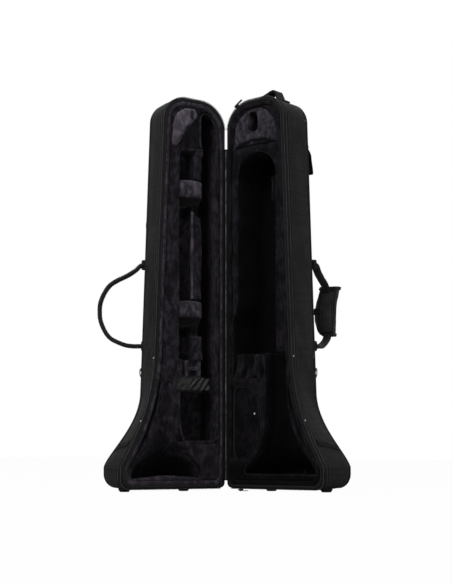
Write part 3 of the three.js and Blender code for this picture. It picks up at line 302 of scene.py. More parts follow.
def grid_piece(name, half, points, facing_back=True):
    """A sheet through rows of points. Its cloth coordinates are lengths in metres."""
    points = np.asarray(points, float)
    rows, columns = points.shape[:2]
    across = np.linalg.norm(np.diff(points, axis=1), axis=2).mean(0)
    across = np.concatenate([[0], np.cumsum(across)]) * MM
    up = np.linalg.norm(np.diff(points, axis=0), axis=2).mean(1)
    up = np.concatenate([[0], np.cumsum(up)]) * MM
    faces, uvs = [], []
    for row in range(rows - 1):
        for i in range(columns - 1):
            corners = [(row, i), (row + 1, i), (row + 1, i + 1), (row, i + 1)]
            if not facing_back:
                corners.reverse()
            faces.append([r * columns + c for r, c in corners])
            uvs += [(across[c], up[r]) for r, c in corners]
    return mesh_piece(name, half, points.reshape(-1, 3), faces, uvs)


def evaluated(obj, name=None):
    """The object with its modifiers made into plain mesh"""
    bpy.context.view_layer.update()
    graph = bpy.context.evaluated_depsgraph_get()
    mesh = bpy.data.meshes.new_from_object(obj.evaluated_get(graph), depsgraph=graph)
    made = link(name or obj.name + "_made", mesh)
    old = obj.name
    bpy.data.objects.remove(obj)
    made.name = name or old
    return made


def modifier(obj, kind, **values):
    made = obj.modifiers.new(kind.lower(), kind)
    for key, value in values.items():
        setattr(made, key, value)
    return made


def solidified(obj, thick):
    modifier(obj, "SOLIDIFY", thickness=thick * MM, offset=-1.0, use_even_offset=False)
    return evaluated(obj)


def coordinates(obj):
    places = np.zeros(len(obj.data.vertices) * 3)
    obj.data.vertices.foreach_get("co", places)
    return places.reshape(-1, 3)


def normals_of(obj):
    found = np.zeros(len(obj.data.vertices) * 3)
    obj.data.vertex_normals.foreach_get("vector", found)
    return found.reshape(-1, 3)


def set_coordinates(obj, places):
    obj.data.vertices.foreach_set("co", np.asarray(places, float).ravel())
    obj.data.update()


def ruffle(obj, height, size, seed):
    """Uneven cloth: points move along their normals by a smooth noise, in millimetres"""
    places = coordinates(obj)
    shift = Vector([seed * step for step in SEED_STEPS])
    waves = np.array([noise.noise(Vector(p) / (size * MM) + shift) for p in places])
    set_coordinates(obj, places + normals_of(obj) * (waves * height * MM)[:, None])


# Distance in metres within which a CAD solid's points are one
SAME_POINT = 0.00002
CLOTH_FRAMES = 20


def cad_copy(name, node, voxel, smoothing=3):
    """A soft copy of a CAD solid: merged, remeshed and smoothed"""
    mesh = frame["nodes"][node].data.copy()
    mesh.materials.clear()
    with opened(mesh) as shell:
        bmesh.ops.remove_doubles(shell, verts=shell.verts, dist=SAME_POINT)
    obj = link(name, mesh)
    modifier(obj, "REMESH", mode="VOXEL", voxel_size=voxel * MM)
    modifier(obj, "SMOOTH", factor=0.5, iterations=smoothing)
    obj = evaluated(obj, name)
    obj.data.shade_smooth()
    return obj


def puffed(name, node, voxel, drawn_in, cap, pressure=4.0, smoothing=3):
    """A padded copy of a CAD solid, drawn in and then filled out by a cloth simulation, up to a cap"""
    obj = cad_copy(name, node, voxel, smoothing)
    start = coordinates(obj) - normals_of(obj) * drawn_in * MM
    set_coordinates(obj, start)
    cloth = modifier(obj, "CLOTH")
    cloth.settings.use_pressure = True
    cloth.settings.uniform_pressure_force = pressure
    cloth.settings.effector_weights.gravity = 0
    cloth.settings.quality = 4
    scene = bpy.context.scene
    for number in range(1, CLOTH_FRAMES + 1):
        scene.frame_set(number)
    graph = bpy.context.evaluated_depsgraph_get()
    filled = coordinates(obj.evaluated_get(graph))
    obj.modifiers.remove(cloth)
    scene.frame_set(1)
    shift = filled - start
    length = np.linalg.norm(shift, axis=1, keepdims=True)
    shift *= np.minimum(1, cap * MM / np.maximum(length, 1e-9))
    set_coordinates(obj, start + shift)
    return obj


def oval(width, thick, count=18, squareness=3.0):
    """A rounded section, from an ellipse at 2 towards a rectangle"""
    turns = np.linspace(0, 2 * math.pi, count, endpoint=False)
    power = 2 / squareness
    across = np.sign(np.cos(turns)) * np.abs(np.cos(turns)) ** power * width / 2
    through = np.sign(np.sin(turns)) * np.abs(np.sin(turns)) ** power * thick / 2
    return np.stack([across, through], 1)


def headings(path, loop=False):
    """The direction of a path at each of its points"""
    along = np.roll(path, -1, 0) - np.roll(path, 1, 0) if loop else np.gradient(path, axis=0)
    return along / np.linalg.norm(along, axis=1, keepdims=True)


# How a strap's ends round off: its growth, and how far beyond the end, as shares of its section
END_SHARES = ((0.85, 0.25), (0.5, 0.4))


def swept(name, half, path, across, section, loop=False):
    """A strap or binding: a section run along points, with its width in one steady direction"""
    path = np.asarray(path, float)
    across = unit(across)
    along = headings(path, loop)
    places = [(point, heading, 1.0) for point, heading in zip(path, along)]
    if not loop:
        reach = np.ptp(section[:, 1])
        for growth, beyond in END_SHARES:
            places.insert(0, (path[0] - along[0] * reach * beyond, along[0], growth))
            places.append((path[-1] + along[-1] * reach * beyond, along[-1], growth))
    rings = []
    for point, heading, growth in places:
        through = unit(np.cross(heading, across))
        rings.append(point + growth * (section[:, :1] * across + section[:, 1:] * through))
    obj = ring_piece(name, half, rings, loop)
    if not loop:
        close_ends(obj, len(section), len(rings))
    fix_normals(obj)
    return obj


# The most of a side that one rounded corner takes up
CORNER_SHARE = 1 / 2.2


def rounded_loop(corners, radius, count=8):
    """A closed outline with its corners rounded"""
    corners = np.asarray(corners, float)
    found = []
    for i, corner in enumerate(corners):
        before, after = corners[i - 1], corners[(i + 1) % len(corners)]
        reach_in = min(radius, np.linalg.norm(corner - before) * CORNER_SHARE)
        reach_out = min(radius, np.linalg.norm(corner - after) * CORNER_SHARE)
        start = corner + unit(before - corner) * reach_in
        end = corner + unit(after - corner) * reach_out
        for t in np.linspace(0, 1, count):
            found.append((1 - t) ** 2 * start + 2 * t * (1 - t) * corner + t * t * end)
    return np.array(found)


# A plate's edge as shares of its softness and thickness, and its face's rings as shares of its size
PLATE_EDGE_SHARES = ((1, -0.5), (0.3, -0.42), (0, -0.2), (0, 0.2), (0.3, 0.42), (1, 0.5))
PLATE_FACE_SHARES = (0.8, 0.5, 0.2, 0.02)
SOFT_SHARES = (0.45, 0.4)
CAP_SHARES = (0.35, 0.75, 0.97)
CAP_REACH_SHARE = 0.6
ANY_WAY = (0.13, 0.21, 0.97)


def plate(name, half, centre, right, up, size, thick, corner=3.0, dome=0.0):
    """A flat piece with soft edges: its face looks along right x up, and may be domed"""
    right, up = unit(right), unit(up)
    out = np.cross(right, up)
    w, h = size[0] / 2, size[1] / 2
    outline_points = rounded_loop([(-w, -h), (w, -h), (w, h), (-w, h)], corner)
    soft = min(thick * SOFT_SHARES[0], w * SOFT_SHARES[1], h * SOFT_SHARES[1])
    rings = []
    for share, level in PLATE_EDGE_SHARES:
        shrink = np.array([(w - soft * share) / w, (h - soft * share) / h])
        rings.append((outline_points * shrink, level * thick))
    face = rings[-1][0]
    for share in PLATE_FACE_SHARES:
        rings.append((face * share, thick / 2 + dome * (1 - share * share)))
    places = [centre + flat[:, :1] * right + flat[:, 1:] * up + level * out for flat, level in rings]
    obj = ring_piece(name, half, places)
    close_ends(obj, len(outline_points), len(places))
    fix_normals(obj)
    return obj


def tube_piece(name, half, path, radius, sides=12, loop=False):
    """A round tube along points in a half's frame, with a rounded cap at each end"""
    path = np.asarray(path, float)
    along = headings(path, loop)
    side = unit(np.cross(along[0], ANY_WAY))
    radii = np.broadcast_to(np.asarray(radius, float), len(path))
    turns = np.linspace(0, 2 * math.pi, sides, endpoint=False)
    circles = []
    for heading in along:
        side = unit(side - heading * np.dot(side, heading))
        other = np.cross(heading, side)
        circles.append(np.cos(turns)[:, None] * side + np.sin(turns)[:, None] * other)
    skins = [place + radius * circle for place, radius, circle in zip(path, radii, circles)]
    if not loop:
        for cap in CAP_SHARES:
            shrink = math.sqrt(1 - cap * cap)
            reach = cap * CAP_REACH_SHARE
            skins.insert(0, path[0] + radii[0] * (circles[0] * shrink - along[0] * reach))
            skins.append(path[-1] + radii[-1] * (circles[-1] * shrink + along[-1] * reach))
    obj = ring_piece(name, half, skins, loop)
    if not loop:
        close_ends(obj, sides, len(skins))
    fix_normals(obj)
    return obj


def close_ends(obj, sides, rows):
    with opened(obj.data) as shell:
        shell.verts.ensure_lookup_table()
        for first in (0, (rows - 1) * sides):
            shell.faces.new([shell.verts[first + i] for i in range(sides)])


def fix_normals(obj):
    with opened(obj.data) as shell:
        bmesh.ops.recalc_face_normals(shell, faces=shell.faces)
    obj.data.shade_smooth()


def smooth_path(points, count):
    """Points along a smooth curve through the given ones"""
    points = [Vector(p) for p in points]
    points = [points[0] * 2 - points[1]] + points + [points[-1] * 2 - points[-2]]
    spans = len(points) - 3
    found = []
    for i in range(count):
        at = i / (count - 1) * spans
        k = min(int(at), spans - 1)
        t = at - k
        p0, p1, p2, p3 = points[k : k + 4]
        found.append(
            0.5
            * (
                2 * p1
                + (p2 - p0) * t
                + (2 * p0 - 5 * p1 + 4 * p2 - p3) * t * t
                + (3 * p1 - p0 - 3 * p2 + p3) * t**3
            )
        )
    return np.array([tuple(p) for p in found])


def smooth_loop(points, count):
    """Points along a closed smooth curve through the given ones"""
    points = [tuple(p) for p in points]
    around = smooth_path(points[-3:] + points + points[:3], count * (len(points) + 5) // len(points))
    share = len(around) / (len(points) + 5)
    first = int(round(3 * share))
    return around[first : first + int(round(len(points) * share))]


def settle(obj, finish_name, body, slot, *replaced):
    """Gives a piece its finish, its body and the CAD nodes that it replaces. Its slot is not used."""
    obj.data.materials.clear()
    obj.data.materials.append(FINISHES[finish_name])
    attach(obj, body)
    if replaced:
        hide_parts(*replaced)


# Finishes


def new_tree(name, kind, inputs, outputs):
    """A tree of nodes with named inputs and outputs: the tree, what it is given and what it puts out"""
    tree = bpy.data.node_groups.new(name, kind)
    for label, form, value in inputs:
        socket = tree.interface.new_socket(label, in_out="INPUT", socket_type="NodeSocket" + form)
        if value is not None:
            socket.default_value = value
    for label, form in outputs:
        tree.interface.new_socket(label, in_out="OUTPUT", socket_type="NodeSocket" + form)
    return tree, tree.nodes.new("NodeGroupInput").outputs, tree.nodes.new("NodeGroupOutput").inputs


def node(tree, kind, inputs=None, **settings):
    made = tree.nodes.new(kind)
    for key, value in settings.items():
        setattr(made, key, value)
    for key, value in (inputs or {}).items():
        socket = made.inputs[key]
        if isinstance(value, bpy.types.NodeSocket):
            tree.links.new(value, socket)
        else:
            socket.default_value = value
    return made


def calc(tree, operation, a, b=0.0, c=0.0):
    return node(tree, "ShaderNodeMath", {0: a, 1: b, 2: c}, operation=operation).outputs[0]


# Near black: the default of the groups' colours, and the colour that painted shade blends the pile
# towards
DARKEST = (0.0012, 0.0011, 0.0013, 1)
# How far the yarns' uneven dye is drawn out across, aside and up, and the pile's strokes
SLUB_SCALE = (7, 7, 230)
STROKES = (1.0, 1.0, 0.45)
TWILL_YARNS = 4
CLOTH_INPUTS = (("Vector", "Vector", None), ("Dark", "Color", DARKEST), ("Light", "Color", DARKEST))
CLOTH_OUTPUTS = (("Colour", "Color"), ("Roughness", "Float"), ("Height", "Float"))


class Surface:
    """A group of shader nodes that gives a surface's colour, roughness and height"""

    def __init__(self, name, *inputs):
        inputs = [*CLOTH_INPUTS, *((label, "Float", value) for label, value in inputs)]
        self.tree, self.given, self.put_out = new_tree(name, "ShaderNodeTree", inputs, CLOTH_OUTPUTS)

    def calc(self, operation, *values):
        return calc(self.tree, operation, *values)

    def times(self, a, b):
        return self.calc("MULTIPLY", a, b)

    def plus(self, a, b):
        return self.calc("ADD", a, b)

    def times_plus(self, a, b, c):
        return self.calc("MULTIPLY_ADD", a, b, c)

    def split(self):
        return node(self.tree, "ShaderNodeSeparateXYZ", {0: self.given["Vector"]}).outputs

    def stretched(self, vector, scale):
        made = node(self.tree, "ShaderNodeVectorMath", {0: vector, 1: scale}, operation="MULTIPLY")
        return made.outputs[0]

    def noise(self, scale, detail=2.0, distortion=0.0, vector=None):
        values = {"Scale": scale, "Detail": detail, "Distortion": distortion}
        values["Vector"] = self.given["Vector"] if vector is None else vector
        return node(self.tree, "ShaderNodeTexNoise", values).outputs["Fac"]

    def spread(self, value, low, high, to_low=0.0, to_high=1.0):
        limits = {"From Min": low, "From Max": high, "To Min": to_low, "To Max": to_high}
        return node(self.tree, "ShaderNodeMapRange", {"Value": value, **limits}).outputs[0]

    def blend(self, factor, a, b):
        return node(self.tree, "ShaderNodeMix", {0: factor, 6: a, 7: b}, data_type="RGBA").outputs[2]

    def dyed(self, shade):
        return self.blend(shade, self.given["Dark"], self.given["Light"])

    def finished(self, *surface):
        for (label, _), value in zip(CLOTH_OUTPUTS, surface):
            self.tree.links.new(value, self.put_out[label])
        return self.tree


def weave_group():
    """A plain weave of thick yarns, with uneven dye and a little dust"""
    cloth = Surface("Plain weave", ("Yarns per metre", 900.0), ("Slub", 0.13))
    place = cloth.split()
    u, v = [cloth.times(place[axis], cloth.given["Yarns per metre"]) for axis in (0, 1)]
    over = cloth.plus(cloth.calc("FLOOR", u), cloth.calc("FLOOR", v))
    over = cloth.calc("FLOORED_MODULO", over, 2.0)
    waves = [cloth.calc("SINE", cloth.times(cloth.calc("FRACT", at), math.pi)) for at in (u, v)]
    warp = cloth.times(waves[1], cloth.times_plus(waves[0], 0.45, 0.55))
    weft = cloth.times(waves[0], cloth.times_plus(waves[1], 0.45, 0.55))
    under = cloth.calc("SUBTRACT", 1.0, over)
    height = cloth.plus(cloth.times(warp, over), cloth.times(weft, under))
    dye = cloth.spread(cloth.noise(14.0, 5.0, 0.6), 0.35, 0.65, -0.12, 0.26)
    where = node(cloth.tree, "ShaderNodeTexCoord").outputs["Object"]
    slub = cloth.noise(1.0, 3.0, vector=cloth.stretched(where, SLUB_SCALE))
    slub = cloth.times(cloth.spread(slub, 0.38, 0.62, -1.0, 1.0), cloth.given["Slub"])
    fibre = cloth.spread(cloth.noise(420.0), 0.35, 0.65, -0.16, 0.16)
    slope = cloth.times(cloth.plus(u, v), 2 * math.pi / TWILL_YARNS)
    twill = cloth.times_plus(cloth.calc("SINE", slope), 0.16, slub)
    shade = cloth.plus(cloth.times_plus(height, 0.5, dye), cloth.plus(fibre, twill))
    return cloth.finished(cloth.dyed(shade), cloth.times_plus(height, -0.18, 0.82), height)


def pile_group():
    """Short plush pile, brushed lighter and darker in patches, and darkened by painted shade where it
    lies deep
    """
    pile = Surface("Short pile", ("Patch scale", 16.0), ("Recess", 0.0))
    scale = pile.given["Patch scale"]
    wide = pile.noise(scale, 5.0, 1.6)
    strokes = pile.stretched(pile.given["Vector"], STROKES)
    fine = pile.noise(pile.times(scale, 3.4), 5.0, 1.2, strokes)
    blot = pile.times_plus(fine, 0.55, pile.times(wide, 0.45))
    blot = pile.calc("POWER", pile.spread(blot, 0.43, 0.6), 1.3)
    tuft = pile.spread(pile.noise(260.0, 3.0, 0.4), 0.3, 0.7)
    fibre = pile.noise(1400.0)
    shade = pile.times_plus(blot, 0.62, pile.times(tuft, 0.26))
    brushed = pile.dyed(pile.times_plus(fibre, 0.12, shade))
    # Painted shade: the pile is blended towards near black by the marked share
    shaded_pile = pile.blend(pile.times(pile.given["Recess"], 0.93), brushed, DARKEST)
    height = pile.times_plus(tuft, 0.6, pile.times(fibre, 0.4))
    return pile.finished(shaded_pile, pile.times_plus(tuft, -0.08, 0.98), height)


def rib_group():
    """Webbing or zip tape: fine ribs across the band and rounded yarns along it"""
    ribs = Surface("Ribbed band", ("Ribs per metre", 550.0))
    place = ribs.split()
    slope = ribs.plus(ribs.times_plus(place[0], 0.5, place[1]), place[2])
    turn = ribs.times(ribs.times(slope, ribs.given["Ribs per metre"]), 2 * math.pi)
    rib = ribs.times_plus(ribs.calc("SINE", turn), 0.5, 0.5)
    fibre = ribs.spread(ribs.noise(700.0), 0.3, 0.7, -0.15, 0.15)
    shade = ribs.plus(ribs.times(rib, 0.7), fibre)
    return ribs.finished(ribs.dyed(shade), ribs.times_plus(rib, -0.2, 0.8), rib)


def grain_group():
    """Moulded, pressed or plated surfaces: a fine grain with rubbed patches"""
    skin = Surface("Fine grain", ("Grain scale", 900.0), ("Dull", 0.7), ("Rubbed", 0.45))
    given = skin.given
    grain = skin.spread(skin.noise(given["Grain scale"], 3.0), 0.3, 0.7)
    rub = skin.spread(skin.noise(55.0, 4.0, 0.5), 0.42, 0.62)
    shade = skin.times_plus(rub, 0.65, skin.times(grain, 0.35))
    worn = node(skin.tree, "ShaderNodeMix", {0: rub, 2: given["Dull"], 3: given["Rubbed"]})
    return skin.finished(skin.dyed(shade), worn.outputs[0], grain)


GROUPS = {}
FINISHES = {}


def finish(name, group, values, bump, relief, vector="Object", sheen=0.0, metallic=0.0, specular=0.5):
    """A material from one of the finish groups. relief is the depth of its texture in millimetres."""
    material = bpy.data.materials.new(name)
    material.use_nodes = True
    tree = material.node_tree
    shader = tree.nodes["Principled BSDF"]
    where = tree.nodes.new("ShaderNodeTexCoord")
    surface = tree.nodes.new("ShaderNodeGroup")
    surface.node_tree = GROUPS[group]
    tree.links.new(where.outputs[vector], surface.inputs["Vector"])
    for key, value in values.items():
        surface.inputs[key].default_value = value
    # The pile takes its painted shade from the piece's attribute
    if group == "pile":
        shade_attribute = node(tree, "ShaderNodeAttribute", attribute_name="paint_shade")
        tree.links.new(shade_attribute.outputs["Fac"], surface.inputs["Recess"])
    relief = {"Strength": bump, "Distance": relief * MM, "Height": surface.outputs["Height"]}
    raised = node(tree, "ShaderNodeBump", relief)
    tree.links.new(surface.outputs["Colour"], shader.inputs["Base Color"])
    tree.links.new(surface.outputs["Roughness"], shader.inputs["Roughness"])
    tree.links.new(raised.outputs["Normal"], shader.inputs["Normal"])
    shader.inputs["Metallic"].default_value = metallic
    shader.inputs["Specular IOR Level"].default_value = specular
    shader.inputs["Sheen Weight"].default_value = sheen
    shader.inputs["Sheen Roughness"].default_value = 0.5
    FINISHES[name] = material


# Each finish: its group, the setting that dyes it, its dark and light as multiples of that colour
# (or as colours of their own), its group's other values, how strong and how deep its texture is in
# millimetres, and the rest of its looks
FINISH_ROWS = (
    ("nylon_woven", "weave", "nylon", 0.1, 2.0, {}, 0.8, 0.4, {"vector": "UV", "specular": 0.1}),
    ("nylon_wrap", "weave", "nylon", 0.4, 4.6, {"Slub": 0.04}, 0.8, 0.4, {"specular": 0.2}),
    ("side_band", "rib", "nylon", 0.05, 0.35, {}, 0.5, 0.25, {"vector": "UV", "specular": 0.08}),
    ("zip_tape", "rib", "nylon", 0.15, 0.8, {}, 0.5, 0.25, {"vector": "UV", "specular": 0.12}),
    ("webbing", "rib", "nylon", 0.2, 1.0, {"Ribs per metre": 420.0}, 0.6, 0.35, {"specular": 0.2}),
    # The six plush rows are one plush, painted lighter or darker for the light where each is used:
    # painted light on the blocks, painted shade on the linings, the drape and the pad
    ("plush_painted_lit", "pile", "plush", 0.7, 4.2, {"Patch scale": 20.0}, 0.8, 0.9, {"sheen": 0.12}),
    ("plush", "pile", "plush", 0.18, 2.7, {"Patch scale": 22.0}, 0.8, 0.9, {"sheen": 0.08}),
    ("plush_painted_half_lit", "pile", "plush", 0.14, 1.9, {"Patch scale": 22.0}, 0.8, 0.9, {"sheen": 0.05}),
    ("plush_painted_shade", "pile", "plush", 0.03, 1.05, {"Patch scale": 19.0}, 0.8, 0.9, {"sheen": 0.03}),
    ("plush_painted_deep_shade", "pile", "plush", 0.02, 0.52, {"Patch scale": 18.0}, 0.8, 0.9, {"sheen": 0.02}),
    ("plush_pad", "pile", "plush", 0.02, 0.3, {"Patch scale": 15.0}, 0.8, 0.9, {}),
    (
        "strap_cloth", "grain", "nylon", 0.15, 1.0,
        {"Grain scale": 700.0, "Dull": 0.55, "Rubbed": 0.45}, 0.35, 0.2, {"specular": 0.24},
    ),
    (
        "zip_coil", "grain", "nylon", 0.8, 3.2,
        {"Dull": 0.5, "Rubbed": 0.4}, 0.2, 0.1, {"specular": 0.4},
    ),
    ("thread", "grain", "nylon", 0.5, 1.8, {"Dull": 0.6, "Rubbed": 0.5}, 0.3, 0.1, {}),
    (
        "seam_thread", "grain", "nylon", 0.02, 0.2,
        {"Dull": 0.9, "Rubbed": 0.8}, 0.3, 0.1, {"specular": 0.1},
    ),
    ("hinge_cord", "grain", "nylon", 0.6, 14.0, {"Dull": 0.8, "Rubbed": 0.6}, 0.4, 0.15, {}),
    (
        "foot_rubber", "grain", None, (0.004, 0.004, 0.004), (0.014, 0.014, 0.014),
        {"Dull": 0.85, "Rubbed": 0.65}, 0.4, 0.25, {},
    ),
    # The board is near black, partly painted shade: where it shows in gaps it stands in for shadow
    (
        "fibre_board", "grain", None, (0.006, 0.005, 0.004), (0.02, 0.017, 0.013),
        {"Grain scale": 220.0, "Dull": 0.95, "Rubbed": 0.85}, 0.4, 0.4, {},
    ),
    (
        "plated_steel", "grain", None, (0.3, 0.3, 0.31), (0.55, 0.55, 0.56),
        {"Dull": 0.4, "Rubbed": 0.22}, 0.15, 0.05, {"metallic": 1.0},
    ),
    (
        "black_metal", "grain", None, (0.02, 0.02, 0.021), (0.06, 0.06, 0.062),
        {"Dull": 0.5, "Rubbed": 0.3}, 0.2, 0.08, {"metallic": 0.8},
    ),
)
PILE_SPECULAR = 0.06


def dyed(colour, shade):
    """A colour times a shade, or the shade itself where it is a colour of its own"""
    return (*(shade if colour is None else [channel * shade for channel in colour]), 1.0)


def make_finishes(cloth, lining_settings):
    makers = {"weave": weave_group, "pile": pile_group, "rib": rib_group, "grain": grain_group}
    for name, maker in makers.items():
        GROUPS[name] = maker()
    dyes = {"nylon": cloth.nylon_colour, "plush": lining_settings.plush_colour, None: None}
    for name, group, dye, dark, light, values, bump, relief, looks in FINISH_ROWS:
        values = {"Dark": dyed(dyes[dye], dark), "Light": dyed(dyes[dye], light), **values}
        if group == "weave":
            values["Yarns per metre"] = 1 / cloth.yarn_pitch
        if group == "pile":
            looks = {**looks, "specular": PILE_SPECULAR}
        finish(name, group, values, bump, relief, **looks)


# Repeats, made with geometry nodes


# What each repeat is made of: its name, its inputs, and a shape whose sizes may be inputs' names
REPEATS = {
    "stitch": (
        "Run of stitches",
        (("Pitch", "Float", 0.004), ("Length", "Float", 0.003), ("Radius", "Float", 0.0004)),
        "GeometryNodeMeshCylinder",
        {"Vertices": 6, "Radius": "Radius", "Depth": "Length"},
    ),
    "tooth": (
        "Zip coil",
        (("Pitch", "Float", 0.0024), ("Size", "Vector", (1, 1, 1))),
        "GeometryNodeMeshUVSphere",
        {"Segments": 6, "Rings": 5, "Radius": 1.0},
    ),
    "rivet": (
        "Rivets",
        (("Radius", "Float", 0.0022),),
        "GeometryNodeMeshUVSphere",
        {"Segments": 12, "Rings": 8, "Radius": "Radius"},
    ),
}


def repeat_tree(name, inputs, kind, sizes):
    """A tree that sets a shape along curves at a pitch, or on points where it has no pitch"""
    shape_in = ("Geometry", "Geometry", None)
    inputs = (shape_in, *inputs, ("Material", "Material", None))
    tree, given, put_out = new_tree(name, "GeometryNodeTree", inputs, (shape_in[:2],))
    labels = [label for label, _, _ in inputs]
    sizes = {key: given[value] if isinstance(value, str) else value for key, value in sizes.items()}
    shape = node(tree, kind, sizes)
    placing = {"Points": given["Geometry"], "Instance": shape.outputs["Mesh"]}
    if "Pitch" in labels:
        spacing = {"Curve": given["Geometry"], "Length": given["Pitch"]}
        points = node(tree, "GeometryNodeCurveToPoints", spacing, mode="LENGTH").outputs
        placing["Points"] = points["Points"]
        placing["Rotation"] = points["Rotation"]
    if "Size" in labels:
        placing["Scale"] = given["Size"]
    placed = node(tree, "GeometryNodeInstanceOnPoints", placing)
    real = node(tree, "GeometryNodeRealizeInstances", {"Geometry": placed.outputs[0]})
    smooth = node(tree, "GeometryNodeSetShadeSmooth", {"Geometry": real.outputs[0]})
    painting = {"Geometry": smooth.outputs[0], "Material": given["Material"]}
    painted = node(tree, "GeometryNodeSetMaterial", painting)
    tree.links.new(painted.outputs[0], put_out[0])
    return tree


TREES = {}


def grown(obj, tree, values, name):
    """The object with a node tree's result made into plain mesh"""
    made = obj.modifiers.new("grow", "NODES")
    made.node_group = TREES[tree]
    for item in made.node_group.interface.items_tree:
        if item.in_out == "INPUT" and item.name in values:
            made[item.identifier] = values[item.name]
    return evaluated(obj, name)


def curve_of(name, half, paths, loops=False):
    curve = bpy.data.curves.new(name, "CURVE")
    curve.dimensions = "3D"
    for path in paths:
        places = half.world(path)
        spline = curve.splines.new("POLY")
        spline.points.add(len(places) - 1)
        spline.points.foreach_set("co", np.c_[places, np.ones(len(places))].ravel())
        spline.use_cyclic_u = loops
    return link(name, curve)


def stitches(
    name,
    half,
    paths,
    body,
    pitch=4.2,
    length=3.0,
    radius=0.42,
    loops=False,
    slot="binding",
    thread="thread",
):
    """Rows of stitches along paths in a half's frame, in millimetres"""
    values = {"Pitch": pitch * MM, "Length": length * MM, "Radius": radius * MM}
    values["Material"] = FINISHES[thread]
    obj = grown(curve_of(name, half, paths, loops), "stitch", values, name)
    settle(obj, thread, body, slot)


# Covers

# Distances along the skin from the rim, close together at the two seams beside it
COVER_FRONTS = (2.9, 3.6, 5, 8, 11, 13, 14.5, 15.5, 16.5, 18, 20.5, 22.8, 24, 25.2, 27.5)
COVER_WALLS_FROM = 31
COVER_WALL_ROWS = 20
COVER_BENDS_FROM = 0.1
COVER_BEND_ROWS = 12
COVER_THICK = 1.6
RIM_SEAMS = (15.5, 24.0)
SEAM_DEPTH = 1.4
SEAM_WIDTH = 1.3
WALL_SWELL = 1.3
SWELL_FROM = 26
SWELL_SHORT = 20
BACK_SWELL = 1.2
BACK_SWELL_SHARE = 1.6
BACK_RING_SHARES = np.linspace(0.12, 1, 9)
SPINE_ENDS = (70.0, 905.0)
MERGE_WITHIN = 0.0004


def cover(half):
    """The woven cover: walls, rounded edge and back, in one skin"""
    straight = half.depth - BACK_ROUND
    walls = np.linspace(COVER_WALLS_FROM, straight, COVER_WALL_ROWS)
    turns = np.linspace(COVER_BENDS_FROM, math.pi / 2, COVER_BEND_ROWS)
    bends = straight + BACK_ROUND * turns
    rings = []
    for along in [*COVER_FRONTS, *walls, *bends]:
        swollen = (along - SWELL_FROM) / (straight - SWELL_SHORT)
        out = WALL_SWELL * math.sin(math.pi * min(max(swollen, 0), 1))
        for seam in RIM_SEAMS:
            out -= SEAM_DEPTH * math.exp(-(((along - seam) / SEAM_WIDTH) ** 2))
        turn = max(0.0, min((along - straight) / BACK_ROUND, math.pi / 2))
        away = outward(wall_line(half.depth, along) if along <= straight else BACK_LINE)
        base = wall_ring(half, along)
        base[:, 0] += away[:, 0] * out * math.cos(turn)
        base[:, 2] += away[:, 1] * out * math.cos(turn)
        base[:, 1] += out * math.sin(turn)
        rings.append(base)
    rings += back_rings(half, rings[-1])
    obj = ring_piece(f"{half.name}_cover_cloth", half, rings)
    with opened(obj.data) as shell:
        bmesh.ops.remove_doubles(shell, verts=shell.verts, dist=MERGE_WITHIN)
    obj.data.shade_smooth()
    ruffle(obj, height=1.1, size=70, seed=3 + half.depth)
    ruffle(obj, height=0.35, size=16, seed=5 + half.depth)
    obj = solidified(obj, COVER_THICK)
    settle(obj, "nylon_woven", half.body, "nylon", f"{half.name}_cover")


def back_rings(half, edge):
    """Rings from the back edge to the middle line of the back panel"""
    heights = np.clip(edge[:, 2], *SPINE_ENDS)
    levels = np.linspace(*SPINE_ENDS, ALONG)
    free = np.interp(levels, edge[FREE_SIDE, 2], edge[FREE_SIDE, 0])
    hinge = edge[HINGED_SIDE][::-1]
    near = np.interp(levels, hinge[:, 2], hinge[:, 0])
    middle = np.interp(heights, levels, (free + near) / 2)
    spine = np.stack([middle, edge[:, 1], heights], 1)
    rings = []
    for share in BACK_RING_SHARES:
        ring = edge * (1 - share) + spine * share
        swollen = math.sin(math.pi / 2 * min(1, share * BACK_SWELL_SHARE))
        ring[:, 1] = half.depth + BACK_SWELL * swollen
        rings.append(ring)
    return rings


def band(name, half, rows, thick, finish_name, slot, *replaced):
    """A band round the rim from rows of points, given a thickness"""
    obj = solidified(ring_piece(name, half, rows), thick)
    settle(obj, finish_name, half.body, slot, *replaced)


# The zip tape, as shares of the way from the rim's edge to the lining, and depths behind the rim
TAPE_ROWS = ((0.0, 2.4), (0.03, 1.7), (0.08, 1.35), (0.2, 1.3), (0.34, 1.4), (0.42, 2.0), (0.47, 3.3))
TAPE_THICK = 0.9
# The side band, as distances along the skin and out from it
BAND_ROWS = ((2.0, 0.1), (3.0, 0.8), (6.0, 1.0), (10.0, 1.0), (12.6, 0.9), (13.6, 0.4), (14.2, -0.4))
BAND_THICK = 0.6
RIM_EDGE_INSET = 0.3
RIM_WIDTH = 17.0
HINGED_RIM_WIDTH = 9.0
RIM_TAPERS_OVER = 12
# The plush roll inside the tape: the shares that it spans, its depth and how far it rises
ROLL_MIDDLE_SHARE = 0.72
ROLL_REACH_SHARE = 0.29
ROLL_DEPTH = 5.2
ROLL_RISE = 3.3
ROLL_THICK = 1.2
ROLL_ROWS = 11
ROLL_END = (1.03, 8.0)
SEAM_CORD_AT = (15.6, 1.1)
SEAM_CORD_RADIUS = 1.3
BAND_STITCHES = (11.6, 18.6, 26.6)
BAND_STITCHES_OUT = 0.75
TAPE_STITCHES = (0.3, 0.55)
# How many of the outline's points the stitches run on, past the hinge side's top
BAND_STITCHES_PAST = 40
TAPE_STITCHES_PAST = 20


def rim_width():
    """Width of the zip tape and the plush roll together: less along the hinge"""
    width = np.full(len(RIM_LINE), RIM_WIDTH)
    width[HINGED_SIDE] = HINGED_RIM_WIDTH
    over = RIM_TAPERS_OVER
    evened = np.ones(2 * over + 1) / (2 * over + 1)
    return np.convolve(np.r_[width[-over:], width, width[:over]], evened, "valid")


def rim_row(share, depth):
    """A ring between the rim's outer edge at 0 and the lining at 1"""
    row = inset(RIM_LINE, RIM_EDGE_INSET) * (1 - share) + inset(INNER_LINE, rim_width()) * share
    return with_depth(row, depth)


